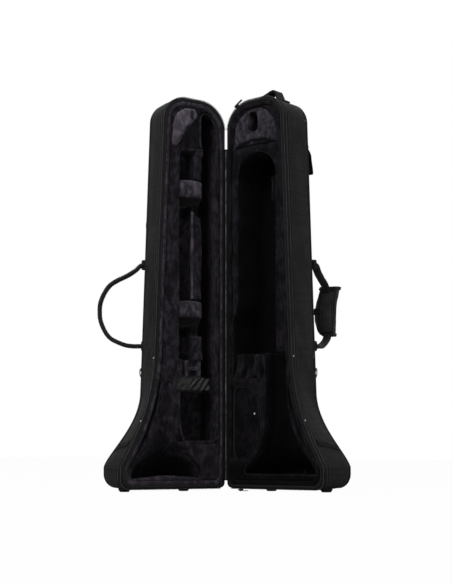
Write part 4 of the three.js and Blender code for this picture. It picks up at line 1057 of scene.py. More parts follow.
def rim_roll(half):
    """The plush rolled over the rim's inner edge"""
    rows = [rim_row(ROLL_MIDDLE_SHARE - ROLL_REACH_SHARE, ROLL_DEPTH)]
    for turn in np.linspace(0, math.pi, ROLL_ROWS):
        share = ROLL_MIDDLE_SHARE - ROLL_REACH_SHARE * math.cos(turn)
        rows.append(rim_row(share, ROLL_DEPTH - ROLL_RISE * math.sin(turn)))
    rows.append(rim_row(*ROLL_END))
    roll = ring_piece(f"{half.name}_rim_roll", half, rows)
    ruffle(roll, height=0.7, size=26, seed=15 + half.depth)
    # Painted shade: the roll darkens at the foot of the bell half
    paint_shade(roll, half, start=100, end=130)
    roll = solidified(roll, ROLL_THICK)
    # The roll's pile is a copy of the plush with painted light on the lid and with painted shade on the
    # bell
    settle(roll, "plush_painted_half_lit" if half is LID else "plush_painted_deep_shade", half.body, "plush")


def rim_trim(half):
    """The zip tape over the rim, the plush roll, the side band and their stitches"""
    tape = [rim_row(share, depth) for share, depth in TAPE_ROWS]
    band(f"{half.name}_zip_tape", half, tape, TAPE_THICK, "zip_tape", "binding", f"{half.name}_rim_tape")
    rim_roll(half)
    side = [wall_ring(half, along, out) for along, out in BAND_ROWS]
    band(f"{half.name}_rim_band", half, side, BAND_THICK, "side_band", "binding")
    path = wall_ring(half, *SEAM_CORD_AT)
    cord = tube_piece(f"{half.name}_seam_cord", half, path, SEAM_CORD_RADIUS, sides=8, loop=True)
    settle(cord, "nylon_wrap", half.body, "nylon")
    paths = []
    for along in BAND_STITCHES:
        paths.append(wall_ring(half, along, BAND_STITCHES_OUT)[: HINGED_SIDE.start + BAND_STITCHES_PAST])
    paths.append(rim_row(*TAPE_STITCHES)[: HINGED_SIDE.start + TAPE_STITCHES_PAST])
    stitches(f"{half.name}_rim_stitching", half, paths, half.body)
    wall_strip(half)


# The seam tape above the flare: its height, its rows as steps along the outline and how far each
# one is lifted, and its rows of stitches
STRIP_HEIGHT = 126
STRIP_FROM = 26
STRIP_SHORT = 6
STRIP_POINTS = 34
STRIP_ROWS = ((-4.6, -0.4), (-4, 0.5), (-2, 0.7), (0, 0.75), (2, 0.7), (4, 0.5), (4.6, -0.4))
STRIP_OUT = 1.4
STRIP_THICK = 1.4
STRIP_STITCH_ROWS = (-3.3, 0.2, 3.3)
STRIP_STITCH_OUT = 2.3
BOLD_STITCHES = {"pitch": 6.5, "length": 4.6, "radius": 0.62}
WELL_OUTSIDE = 90


def wall_strip(half):
    """A seam tape across the wall above the flare"""
    middle = index_at_height(STRIP_HEIGHT)
    alongs = np.linspace(STRIP_FROM, half.depth - STRIP_SHORT, STRIP_POINTS)

    def row(shift, out):
        return [wall_point(half, middle + shift, along, out) for along in alongs]

    name = f"{half.name}_wall_strip"
    obj = grid_piece(name, half, [row(shift, STRIP_OUT + lift) for shift, lift in STRIP_ROWS])
    fix_facing(obj, half.world([wall_point(half, middle, half.depth / 2, WELL_OUTSIDE)])[0])
    obj = solidified(obj, STRIP_THICK)
    settle(obj, "nylon_woven", half.body, "nylon")
    sewn = [row(shift, STRIP_STITCH_OUT) for shift in STRIP_STITCH_ROWS]
    name = f"{half.name}_wall_stitching"
    stitches(name, half, sewn, half.body, **BOLD_STITCHES, slot="nylon", thread="seam_thread")


COIL_INSET = -1.8
COIL_DEPTH = 1.9
COIL_PITCH = 2.5
TOOTH_SIZE = (1.45, 1.45, 0.95)


def zip_coil(half):
    path = with_depth(inset(RIM_LINE, COIL_INSET), COIL_DEPTH)[: HINGED_SIDE.start - 1]
    values = {
        "Pitch": COIL_PITCH * MM,
        "Size": tuple(size * MM for size in TOOTH_SIZE),
        "Material": FINISHES["zip_coil"],
    }
    obj = grown(curve_of("coil", half, [path]), "tooth", values, f"{half.name}_zip_coil")
    settle(obj, "zip_coil", half.body, "binding", f"{half.name}_zip_chain")


PIPING_TURN = math.radians(30)
PIPING_OUT = 2.0
PIPING_RADIUS = 2.3
PIPING_STITCHES = (-4.6, 4.6)
PIPING_STITCHES_OUT = 0.6


def edge_piping(half):
    along = half.depth - BACK_ROUND + BACK_ROUND * PIPING_TURN
    path = wall_ring(half, along, PIPING_OUT)
    obj = tube_piece(f"{half.name}_edge_piping", half, path, PIPING_RADIUS, sides=10, loop=True)
    settle(obj, "webbing", half.body, "binding", f"{half.name}_piping")
    sewn = [wall_ring(half, along + shift, PIPING_STITCHES_OUT) for shift in PIPING_STITCHES]
    stitches(f"{half.name}_piping_stitching", half, sewn, half.body, loops=True)


# Linings

# Where the lid's flare runs into its floor, its pile catches light again: painted light that lifts the
# painted shade
LIT_FROM = (108, 76)
LIT_OVER = (10, 50)
LIT_SHARE = 0.6
# Painted shade darkens the foot of the bell half
FOOT_SHADE_BELOW = 80
FOOT_SHADE_OVER = 26
FOOT_SHADE_SHARE = 0.86
PATCH_EDGE = 6


def smooth_step(share):
    share = np.clip(share, 0, 1)
    return share * share * (3 - 2 * share)


def paint_shade(obj, half, start, end, patches=(), more=0.0):
    """Marks painted shade on each point: darker the deeper it lies, and in the given patches and marks
    """
    x, depth, z = half.local(coordinates(obj)).T
    share = smooth_step((depth - start) / (end - start))
    if half is LID:
        lit = [smooth_step((at - low) / over) for at, low, over in zip((x, z), LIT_FROM, LIT_OVER)]
        share *= 1 - LIT_SHARE * lit[0] * lit[1]
    for left, right, low, high, value in patches:
        margin = np.minimum(np.minimum(x - left, right - x), np.minimum(z - low, high - z))
        inside = np.clip(margin / PATCH_EDGE, 0, 1)
        share = share * (1 - inside) + value * inside
    share = np.maximum(share, more)
    if half is BELL:
        foot = smooth_step((FOOT_SHADE_BELOW - z) / FOOT_SHADE_OVER)
        share = np.maximum(share, FOOT_SHADE_SHARE * foot)
    layer = obj.data.attributes.new("paint_shade", "FLOAT", "POINT")
    layer.data.foreach_set("value", share.astype(np.float32))


# The slit along the flare, where the lining stands away from the rim, and where its gap is darkened with
# painted shade
SLIT_INSET = 21
SLIT_WIDTH = 5.5
SLIT_ENDS = (100, 296)
SLIT_FADE = 50
SLIT_DEPTH = 12
SLIT_FLATNESS = 1.7
SLIT_FRONT = (24, 8)


def slit_share(obj, half):
    """How far each point of a lining lies within the slit"""
    x, depth, z = half.local(coordinates(obj)).T
    line = inset(RIM_LINE, SLIT_INSET)[FREE_SIDE]
    line = line[(line[:, 1] > SLIT_ENDS[0]) & (line[:, 1] < SLIT_ENDS[1])]
    near = np.full(len(x), np.inf)
    for point in line:
        near = np.minimum(near, np.hypot(x - point[0], z - point[1]))
    ends = smooth_step(np.minimum(z - SLIT_ENDS[0], SLIT_ENDS[1] - z) / SLIT_FADE)
    width = np.minimum(1, SLIT_FLATNESS * np.exp(-((near / SLIT_WIDTH) ** 2)))
    return width * ends * np.clip((SLIT_FRONT[0] - depth) / SLIT_FRONT[1], 0, 1)


def moved(obj, half, change):
    """Moves a piece's points by a function of their places in a half's frame"""
    places = half.local(coordinates(obj))
    change(places)
    set_coordinates(obj, half.world(places))


UNDERSIDE_FROM = 0.15
UNDERSIDE_OVER = 0.3


def downward(obj):
    """How far each point of a block faces down, where its pile is darkened with painted shade"""
    return smooth_step((-normals_of(obj)[:, 2] - UNDERSIDE_FROM) / UNDERSIDE_OVER)


# Parts of the lid's lining with painted shade of their own: distances from the hinge, heights, share of
# painted shade
LID_SHADE_PATCHES = (
    (60, 142, 330, 870, 0.0),
    (60, 136, 866, 970, 0.72),
    (60, 142, 392, 416, 0.6),
    (60, 142, 698, 724, 0.6),
    (24, 112, 122, 254, 0.1),
)
LINING_VOXEL = 4.0
# The depths between which painted shade darkens each lining
LINING_SHADE_DEPTHS = {"bell": (8, 32), "lid": (22, 56)}


def lining(half):
    obj = cad_copy(f"{half.name}_plush_lining", f"{half.name}_lining", LINING_VOXEL, smoothing=2)
    slit = slit_share(obj, half)
    patches = LID_SHADE_PATCHES if half is LID else ()
    # Painted shade by depth, in the patches and in the slit
    paint_shade(obj, half, *LINING_SHADE_DEPTHS[half.name], patches, slit)

    def part_from_rim(places):
        places[:, 1] += SLIT_DEPTH * slit

    moved(obj, half, part_from_rim)
    ruffle(obj, height=3.4, size=55, seed=11 + half.depth)
    ruffle(obj, height=1.6, size=18, seed=12 + half.depth)
    # The lining's pile is a copy of the plush with painted shade
    pile = "plush_painted_shade" if half is LID else "plush_painted_deep_shade"
    settle(obj, pile, half.body, "plush", f"{half.name}_lining")


# Edges of the cavities, as stretches of distance from the hinge and height
LID_EDGES = (
    (
        (64, 868), (71, 872), (71, 962), (62, 970), (50, 967), (29, 942), (20, 915), (20, 868),
        (25, 862), (25, 256), (22, 248), (22, 126), (26, 124), (110, 124),
    ),
    ((66, 866), (133, 866), (133, 340)),
    (
        (128, 246), (129, 190), (125, 154), (112, 118), (93, 90), (80, 77), (63, 61), (55, 45), (56, 28),
        (268, 28), (269, 45), (261, 61), (244, 77), (231, 90), (212, 116), (199, 150), (191, 188),
        (186, 229), (179, 268), (171, 284), (153, 284), (145, 268), (138, 229), (134, 196), (130, 176),
    ),
)
BELL_EDGES = (
    (
        (14, 352), (14, 430), (31, 468), (31, 800), (37, 832), (52, 852), (80, 862), (104, 862),
        (131, 852), (146, 832), (152, 806), (152, 350),
    ),
    ((117, 336), (116, 267), (117, 201), (113, 152), (95, 101), (64, 68), (46, 56), (46, 42), (270, 42)),
    ((270, 44), (270, 56), (258, 68), (231, 110), (201, 152), (188, 200), (182, 267), (182, 340)),
)
EDGE_STEP = 6
EDGE_DEPTH = 7.0
EDGE_RADIUS = 2.5


def cavity_edges(half, stretches):
    """A thin roll of plush where the lining turns into each cavity"""
    for number, stretch in enumerate(stretches):
        corners = np.array(stretch, float)
        line = [corners[0]]
        for before, after in zip(corners[:-1], corners[1:]):
            steps = max(2, int(np.linalg.norm(after - before) / EDGE_STEP))
            line += list(run(before, after, steps)[1:])
        line = np.array([*line, corners[-1]])
        for _ in range(3):
            line[1:-1] = (line[:-2] + 2 * line[1:-1] + line[2:]) / 4
        path = with_depth(line, EDGE_DEPTH)
        obj = tube_piece(f"{half.name}_cavity_edge_{number}", half, path, EDGE_RADIUS, sides=10)
        ruffle(obj, height=0.8, size=30, seed=40 + number)
        # Their pile is a copy of the plush with painted shade
        settle(obj, "plush_painted_shade" if half is LID else "plush_painted_deep_shade", half.body, "plush")


# The plush at the foot of the lid's flare, thicker and higher in its middle
FOOT_ROLL_ENDS = (64, 263)
FOOT_ROLL_HEIGHT = 28.5
FOOT_ROLL_RISE = 3.5
FOOT_ROLL_DEPTH = 13.5
FOOT_ROLL_RADIUS = 3.5
FOOT_ROLL_GROWTH = 4.5


def foot_roll():
    """The plush that bulges up at the foot of the lid's flare"""
    share = np.sin(np.linspace(0, math.pi, ALONG))
    xs = np.linspace(*FOOT_ROLL_ENDS, ALONG)
    line = np.stack([xs, FOOT_ROLL_HEIGHT + FOOT_ROLL_RISE * share], 1)
    radii = FOOT_ROLL_RADIUS + FOOT_ROLL_GROWTH * share
    roll = tube_piece("lid_foot_roll", LID, with_depth(line, FOOT_ROLL_DEPTH), radii, sides=14)
    ruffle(roll, height=1.4, size=30, seed=71)
    # Its pile is a copy of the plush with painted light
    settle(roll, "plush_painted_half_lit", LID.body, "plush")


# Blocks

# Each block with its half, how far it may swell in millimetres, its seed and its pile: a copy of the
# plush with painted light
BLOCKS = (
    ("mouthpiece_block", BELL, 3.2, 1, "plush_painted_half_lit"),
    ("support_block", BELL, 4.0, 2, "plush_painted_half_lit"),
    ("wedge_block", LID, 3.2, 3, "plush_painted_lit"),
    ("rest_block_upper", LID, 3.6, 4, "plush"),
    ("rest_block_lower", LID, 3.6, 5, "plush"),
)
# The depths between which painted shade darkens each block
BLOCK_SHADE_DEPTHS = (13, 34)
# How far a block's soft front spreads across and up, as shares of its size, and how far it is raised
SPREAD_SHARES = {"wedge_block": (0.1, 0.11), "mouthpiece_block": (0.11, 0.05)}
SPREAD_FRONT = (24, 10)
SPREAD_RISE = 2.6
# The mouthpiece block's slot: its place, its ends and how far its soft sides lean open
SLOT_AT = 80
SLOT_ENDS = (906, 972)
SLOT_FADE = 12
SLOT_REACH = (34, 24)
SLOT_OPENED = 5.0
SLOT_HALF_WIDTH = 1.5
# The fold of loose plush in the lid's long well
FOLD_AT = (88.0, 18.0)
FOLD_ENDS = (486, 706)
FOLD_RADIUS = 4.0


def fill_seat(places, shares):
    """Spreads a block's soft front over the lining round it"""
    share = np.clip((SPREAD_FRONT[0] - places[:, 1]) / SPREAD_FRONT[1], 0, 1)
    middle = (places.min(0) + places.max(0)) / 2
    for axis, growth in zip((0, 2), shares):
        places[:, axis] += (places[:, axis] - middle[axis]) * growth * share
    places[:, 1] -= SPREAD_RISE * share


def open_slot(places):
    across = places[:, 0] - SLOT_AT
    up = np.minimum(places[:, 2] - SLOT_ENDS[0], SLOT_ENDS[1] - places[:, 2])
    reach = np.clip((SLOT_REACH[0] - np.abs(across)) / SLOT_REACH[1], 0, 1)
    lean = across / (np.abs(across) + SLOT_HALF_WIDTH)
    places[:, 0] += SLOT_OPENED * smooth_step(up / SLOT_FADE) * reach * lean


def plush_blocks():
    for node_name, half, cap, seed, pile in BLOCKS:
        obj = puffed(f"{node_name}_plush", node_name, voxel=3.2, drawn_in=2.2, cap=cap)
        if node_name in SPREAD_SHARES:
            moved(obj, half, lambda places: fill_seat(places, SPREAD_SHARES[node_name]))
        if node_name == "mouthpiece_block":
            moved(obj, half, open_slot)
        ruffle(obj, height=1.6, size=22, seed=seed)
        # Painted shade, deeper back and on the undersides
        paint_shade(obj, half, *BLOCK_SHADE_DEPTHS, more=downward(obj))
        settle(obj, pile, half.body, "plush", node_name)
    # The saddle and the fold take the plush's mid copy, lighter than the linings by painted light
    saddle = cad_copy("slide_saddle_plush", "slide_saddle", voxel=2.0, smoothing=2)
    settle(saddle, "plush", LID.body, "plush", "slide_saddle")
    fold = [(*FOLD_AT, z) for z in np.linspace(*FOLD_ENDS, ALONG)]
    roll = tube_piece("well_fold", LID, fold, FOLD_RADIUS)
    ruffle(roll, height=1.6, size=30, seed=61)
    settle(roll, "plush", LID.body, "plush")


# The divider's drape: the lengths of its folds and of their sways, how far they sway, and how far
# the cloth in front moves
DRAPE_LENGTH = 17
DRAPE_SWAY_LENGTHS = (31, 19)
DRAPE_SWAYS = (0.5, 0.9)
DRAPE_TURNS = 2.4
DRAPE_FRONT = (30, 12)
DRAPE_SHIFT = 3.6
DRAPE_FOLD = 4.6
# The depths between which painted shade darkens the drape
DRAPE_SHADE_DEPTHS = (9, 21)


def drape(places):
    bend = places[:, 0] / DRAPE_LENGTH
    for axis, length, sway in zip((0, 2), DRAPE_SWAY_LENGTHS, DRAPE_SWAYS):
        bend += sway * np.sin(places[:, axis] / length)
    front = np.clip((DRAPE_FRONT[0] - places[:, 1]) / DRAPE_FRONT[1], 0, 1)
    places[:, 1] += front * (DRAPE_SHIFT + DRAPE_FOLD * np.sin(DRAPE_TURNS * bend))


def divider():
    obj = cad_copy("divider_drape_plush", "divider_drape", voxel=2.4)
    moved(obj, BELL, drape)
    ruffle(obj, height=1.4, size=16, seed=8)
    # Painted shade by depth, on a copy of the plush with painted shade
    paint_shade(obj, BELL, *DRAPE_SHADE_DEPTHS)
    settle(obj, "plush_painted_shade", BELL.body, "plush", "divider_drape")


# The accessory box's lid: its left, right, foot and top, and its corners as shares of its size
BOX = (24, 98, 84, 262)
BOX_CORNER_SHARES = ((0, 0), (0.45, 0), (0.86, 0.2), (1, 0.5), (0.94, 0.86), (0.5, 1), (0, 1))
BOX_CORNER_RADIUS = 24
BOX_EDGE_INSET = -5.6
BOX_EDGE_DEPTH = 8.6
BOX_STITCHES_INSET = 4.5
BOX_STITCHES_DEPTH = 5.3
SNAP_AT = (84, 5.2, 194)
SNAP = {"size": (5.4, 5.4), "thick": 1.5, "corner": 2.6, "dome": 0.4}
GENTLE_FILL = {"voxel": 2.6, "drawn_in": 1.2, "cap": 1.8, "pressure": 3.0, "smoothing": 2}


def accessory_cover():
    body = "accessory_box_lid"
    obj = puffed("accessory_lid_pad", "accessory_lid", **GENTLE_FILL)
    ruffle(obj, height=0.8, size=18, seed=9)
    # Its pile is the plush's darkest copy, with painted shade
    settle(obj, "plush_pad", body, "plush", "accessory_lid")
    width, height = BOX[1] - BOX[0], BOX[3] - BOX[2]
    corners = [(BOX[0] + width * a, BOX[2] + height * b) for a, b in BOX_CORNER_SHARES]
    edge = inset(rounded_loop(corners, BOX_CORNER_RADIUS, count=12), BOX_EDGE_INSET)
    path = with_depth(edge, BOX_EDGE_DEPTH)
    section = oval(width=4.6, thick=2.2)
    binding = swept("accessory_lid_binding", BELL, path, (0, 1, 0), section, loop=True)
    settle(binding, "webbing", body, "binding")
    path = with_depth(inset(edge, BOX_STITCHES_INSET), BOX_STITCHES_DEPTH)
    stitches("accessory_lid_stitching", BELL, [path], body, loops=True)
    snap = plate("snap_stud", BELL, SNAP_AT, (-1, 0, 0), (0, 0, 1), **SNAP)
    settle(snap, "plated_steel", body, "steel", "accessory_snap")


# The strap over the slide: its ends across and up, its middle, and its hems' heights
STRAP_ENDS = (45, 137)
STRAP_LEVELS = (253, 283)
STRAP_MIDDLE = 268
STRAP_HALF = 15
STRAP_HINGE = 104
STRAP_DEPTH = 6.6
STRAP_HEM_DEPTH = 6.0
STRAP_HEMS = (256, 280)
STRAP_THICK = 2.6
STRAP_GRID = (150, 44)
# Its edges' waves, and its folds: how long they are across and up, how high and how they sway
EDGE_WAVE = 1.6
EDGE_LENGTH = 14
EDGE_SEEDS = (7.7, 2.2)
FOLD_LENGTHS = (2.7, 3.4)
FOLD_HEIGHT = 1.5
FOLD_SWAY = 2.6
SWAY_LENGTHS = (24, 18)
SWAY_SEED = 3.1
CREASE_HEIGHT = 0.9
CREASE_LENGTHS = (11, 12)
CREASE_SEED = 5.2
GATHER_LEAST = 0.2
GATHER_OVER = 9
STEP_DEPTH = 1.4
STEP_OVER = 3


def uneven(x, z, lengths, seed):
    """A smooth noise over a sheet, with waves about as long as the lengths across and up"""
    return noise.noise(Vector((x / lengths[0], z / lengths[1], seed)))


def strap_crumple(x, z):
    """Folds that run slantwise over the strap, gathered towards its hinge"""
    slant = x / FOLD_LENGTHS[0] + z / FOLD_LENGTHS[1]
    gathered = min(1, max(GATHER_LEAST, (STRAP_HINGE - x) / GATHER_OVER))
    fold = math.sin(slant + FOLD_SWAY * uneven(x, z, SWAY_LENGTHS, SWAY_SEED))
    step = STEP_DEPTH * min(1, max(0, (STRAP_HINGE - x) / STEP_OVER))
    crease = CREASE_HEIGHT * uneven(x, z, CREASE_LENGTHS, CREASE_SEED)
    return FOLD_HEIGHT * gathered * fold - step + crease


def slide_strap():
    """A crumpled cloth strap that lies across the slide"""
    xs = np.linspace(*STRAP_ENDS, STRAP_GRID[0])
    rows = []
    for z in np.linspace(*STRAP_LEVELS, STRAP_GRID[1]):
        row = []
        for x in xs:
            seed = EDGE_SEEDS[0] if z > STRAP_MIDDLE else EDGE_SEEDS[1]
            edge = EDGE_WAVE * uneven(x, seed, (EDGE_LENGTH, 1), 0)
            share = abs(z - STRAP_MIDDLE) / STRAP_HALF
            row.append((x, STRAP_DEPTH + strap_crumple(x, z), z + edge * share))
        rows.append(row)
    obj = solidified(grid_piece("slide_strap_cloth", LID, rows, facing_back=False), STRAP_THICK)
    settle(obj, "strap_cloth", "strap_for_slide", "plush", "slide_strap")
    hems = []
    for z in STRAP_HEMS:
        hems.append([(x, STRAP_HEM_DEPTH + strap_crumple(x, z), z) for x in xs])
    stitches("slide_strap_stitching", LID, hems, "strap_for_slide")


LOOP_LINE = ((97, 4.6, 946.5), (97, 4.0, 952), (97, 3.9, 960), (97, 4.8, 967))
LOOP_POINTS = 16
LOOP_STITCH_ENDS = (93.6, 100.4)
LOOP_STITCH_LEVELS = (948.5, 951.5)
LOOP_STITCH_DEPTH = 3.0


def loop_tab():
    """A folded webbing loop at the top of the wedge block"""
    section = oval(width=9, thick=1.8)
    obj = swept("wedge_loop_webbing", LID, smooth_path(LOOP_LINE, LOOP_POINTS), (1, 0, 0), section)
    settle(obj, "webbing", LID.body, "binding", "wedge_loop_tab")
    sewn = []
    for z in LOOP_STITCH_LEVELS:
        sewn.append([(x, LOOP_STITCH_DEPTH, z) for x in LOOP_STITCH_ENDS])
    stitches("wedge_loop_stitching", LID, sewn, LID.body, pitch=2.2, length=1.5, radius=0.3)


# Hinge

HINGE_LEVELS = (27, 875)
HINGE_ROWS = 150
# The strip from a half's rim to the fold: distances from the hinge line, and depths before the rim
HINGE_SECTION = ((10.5, -0.25), (8, -0.8), (5, -1.1), (3, -1.25), (1.4, -1.3))
HINGE_THICK = 0.9
HINGE_MIDDLE = 450
BEND_FROM = (2.4, -1.2, HINGE_MIDDLE)
BEFORE_HINGE = (20, -60, HINGE_MIDDLE)
HINGE_CORD_AT = (1.1, -1.8)
HINGE_CORD_ENDS = (30, 872)
HINGE_CORD_RADIUS = 0.8
HINGE_TAB_AT = (0.8, -2.4)
HINGE_TAB_LEVELS = (808, 258)
HINGE_TAB = {"size": (2.2, 22), "thick": 1.0, "corner": 0.9}


def hinge_strip():
    """The fabric that joins the halves, with a cord and two tabs along it"""
    rows = []
    for height in np.linspace(*HINGE_LEVELS, HINGE_ROWS):
        section = [(x, y, height) for x, y in HINGE_SECTION]
        rows.append(np.concatenate([BELL.world(section), LID.world(section)[::-1]]) / MM)
    obj = grid_piece("hinge_strip", WORLD, rows)
    fix_facing(obj, BELL.world([BEFORE_HINGE])[0])
    obj = solidified(obj, HINGE_THICK)
    obj.data.materials.append(FINISHES["side_band"])
    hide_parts("bell_hinge_leaf", "lid_hinge_leaf")
    start = BELL.world([BEND_FROM])[0]
    end = LID.world([BEND_FROM])[0]
    tuple(start)
    tuple(end)
    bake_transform(obj)
    path = [(*HINGE_CORD_AT, z) for z in np.linspace(*HINGE_CORD_ENDS, FAR_ALONG)]
    cord = tube_piece("hinge_cord", BELL, path, HINGE_CORD_RADIUS, sides=8)
    settle(cord, "hinge_cord", BELL.body, "binding")
    for number, height in enumerate(HINGE_TAB_LEVELS):
        at = (*HINGE_TAB_AT, height)
        tab = plate(f"hinge_tab_{number}", BELL, at, (-1, 0, 0), (0, 0, 1), **HINGE_TAB)
        settle(tab, "hinge_cord", BELL.body, "binding")


def fix_facing(obj, towards):
    """Turns a sheet's faces so that most look towards a place"""
    votes = 0.0
    for face in obj.data.polygons:
        votes += face.normal.dot(Vector(towards) - face.center)
    if votes < 0:
        obj.data.flip_normals()


# Handles

ANCHOR_TURN = math.radians(66)
HANDLE_OUT = 40.2
HANDLE_TOP = 576
HANDLE_BOTTOM = 367
HANDLE_REACH = 114
HANDLE_POINTS = 130
HANDLE_SHARES = (
    (0.0, 1.0), (0.08, 0.985), (0.2, 0.926), (0.395, 0.86), (0.586, 0.81), (0.767, 0.742), (0.89, 0.643),
    (0.97, 0.53), (0.985, 0.41), (0.96, 0.305), (0.87, 0.188), (0.745, 0.1), (0.564, 0.046),
    (0.395, 0.012), (0.225, 0.0), (0.11, 0.0), (0.0, 0.0),
)
HANDLE_LEANS = {"bell": -12, "lid": 62}
HANDLE_ENDS = (("upper", HANDLE_TOP), ("lower", HANDLE_BOTTOM))
HANDLE_STITCHES_ASIDE = (-7.2, 7.2)
HANDLE_STITCHES_OUT = 5.1
EYE_STEPS = (-8, -2.5, 2.5, 8)
HANDLE_SEWN = slice(6, -6)
PATCH_OUT = 34.2
PATCH_POINTS = 14


def handle_spot(half):
    """The frame of a half's carry handle: x is its reach, y is aside and z is up"""
    x, y, _ = on_edge(half, HANDLE_BOTTOM, ANCHOR_TURN, HANDLE_OUT)
    turn = math.pi / 2 - math.radians(HANDLE_LEANS[half.name])
    return Spot(half, f"{half.name}_carry_handle", about_z(turn), (x, y, 0))


def carry_handle(half):
    spot = handle_spot(half)
    span = HANDLE_TOP - HANDLE_BOTTOM
    points = [(HANDLE_REACH * out, 0, HANDLE_BOTTOM + span * up) for out, up in HANDLE_SHARES]
    path = smooth_path(points, HANDLE_POINTS)
    section = oval(width=21, thick=10.5, count=20, squareness=2.8)
    obj = swept(f"{half.name}_handle_webbing", spot, path, (0, 1, 0), section)
    ruffle(obj, height=0.7, size=16, seed=21)
    settle(obj, "webbing", spot.body, "binding", f"{half.name}_handle")
    section = oval(width=13, thick=12.4, squareness=2.2)
    for name, height in HANDLE_ENDS:
        eye = [(0, 0, height + step) for step in EYE_STEPS]
        sleeve = swept(f"{half.name}_handle_eye_{name}", spot, eye, (0, 1, 0), section)
        settle(sleeve, "webbing", spot.body, "binding")
    rows = []
    through = np.cross(headings(path), (0, 1, 0))
    for side in (-1, 1):
        for aside in HANDLE_STITCHES_ASIDE:
            row = path + through * side * HANDLE_STITCHES_OUT + (0, aside, 0)
            rows.append(row[HANDLE_SEWN])
    stitches(f"{half.name}_handle_stitching", spot, rows, spot.body, radius=0.5)


def handle_anchors(half):
    for name, height in HANDLE_ENDS:
        node_name = f"{half.name}_handle_anchor_{name}"
        obj = cad_copy(f"{node_name}_webbing", node_name, voxel=1.5, smoothing=2)
        settle(obj, "webbing", half.body, "nylon", node_name)
        stitch_patch(f"{node_name}_stitching", half, height, ANCHOR_TURN, reach=18, spread=19)


def stitch_patch(name, half, height, turn, reach, spread):
    """A stitched box on a patch that lies round the back edge"""
    spread = math.radians(spread)
    turns = np.linspace(turn - spread, turn + spread, PATCH_POINTS)
    levels = np.linspace(height - reach, height + reach, PATCH_POINTS)
    corners = [(levels[0], each) for each in turns]
    corners += [(level, turns[-1]) for level in levels]
    corners += [(levels[-1], each) for each in turns[::-1]]
    corners += [(level, turns[0]) for level in levels[::-1]]
    box = [on_edge(half, level, each, PATCH_OUT) for level, each in corners]
    stitches(name, half, [box], half.body, pitch=3.0, length=2.1, radius=0.36)


# The wrap round the bell half's handle: its heights, its middle, and its size round the webbing
WRAP_HEIGHT = 128
WRAP_LOW = HANDLE_BOTTOM + 0.46 * (HANDLE_TOP - HANDLE_BOTTOM) - WRAP_HEIGHT / 2
WRAP_HIGH = WRAP_LOW + WRAP_HEIGHT
WRAP_AT = (HANDLE_REACH * 0.93, 7)
WRAP_HALF_WIDTH = 33
# Its two edges, as distance aside at shares of its height
WRAP_LEVEL_SHARES = (0, 0.08, 0.2, 0.4, 0.62, 0.85, 1)
WRAP_NEAR = (14, 30, 36, 41, 37, 29, 21)
WRAP_FAR = (-17, -19, -20, -20.5, -22, -27, -31)
WRAP_SIZE = np.array([28.5, 67.5])
WRAP_HEM = 3
WRAP_STITCHES_OUT = 3.4
WRAP_STITCHES = {"pitch": 3.4, "length": 2.4, "radius": 0.36}
# The flap that closes it inwards of the handle: left, foot, right and top from its middle
FLAP_IN = 14.6
FLAP_EDGE = ((-22, -54), (28, -54), (28, 54), (-22, 54))
FLAP_EDGE_IN = 1.4
FLAP_TAB_IN = 1.6
FLAP_TAB_ASIDE = 30
FLAP_ASIDE = 3
FLAP_PLATE = {"size": (52, 112), "thick": 3.0, "corner": 7.0, "dome": 1.0}


class WrapSpot(Spot):
    """The handle's frame, drawn out of true as the wrap's cloth is"""

    def world(self, points):
        points = np.array(points, float)
        share = np.clip((points[:, 2] - WRAP_LOW) / (WRAP_HIGH - WRAP_LOW), 0, 1)
        near = np.interp(share, WRAP_LEVEL_SHARES, WRAP_NEAR)
        far = np.interp(share, WRAP_LEVEL_SHARES, WRAP_FAR)
        across = (points[:, 1] - WRAP_AT[1] + WRAP_HALF_WIDTH) / (2 * WRAP_HALF_WIDTH)
        points[:, 1] = far + (near - far) * across
        return super().world(points)


def wrap_ring(around, height):
    """A ring round the wrap, from its section's points"""
    return with_depth(WRAP_AT + around, height)[:, [0, 2, 1]]


def handle_wrap():
    """The padded hook-and-loop wrap on the bell half's carry handle"""
    plain = handle_spot(BELL)
    spot = WrapSpot(BELL, plain.body, plain.turn, plain.at)
    obj = puffed("handle_wrap_pad", "handle_wrap", voxel=3.2, drawn_in=1.6, cap=3.0)
    inside = (BELL.local(coordinates(obj)) - plain.at) @ plain.turn
    set_coordinates(obj, spot.world(inside))
    ruffle(obj, height=1.2, size=16, seed=31)
    settle(obj, "nylon_wrap", spot.body, "nylon", "handle_wrap")
    around = oval(*WRAP_SIZE, count=56, squareness=4.2)
    section = oval(width=8, thick=3.0)
    for name, height in (("lower", WRAP_LOW + WRAP_HEM), ("upper", WRAP_HIGH - WRAP_HEM)):
        path = wrap_ring(around, height)
        binding = swept(f"wrap_binding_{name}", spot, path, (0, 0, 1), section, loop=True)
        ruffle(binding, height=0.4, size=20, seed=33)
        settle(binding, "webbing", spot.body, "binding")
        sewn = wrap_ring(around * (1 + WRAP_STITCHES_OUT / WRAP_SIZE), height)
        stitches(f"wrap_stitching_{name}", spot, [sewn], spot.body, **WRAP_STITCHES, loops=True)
    wrap_flap(spot)


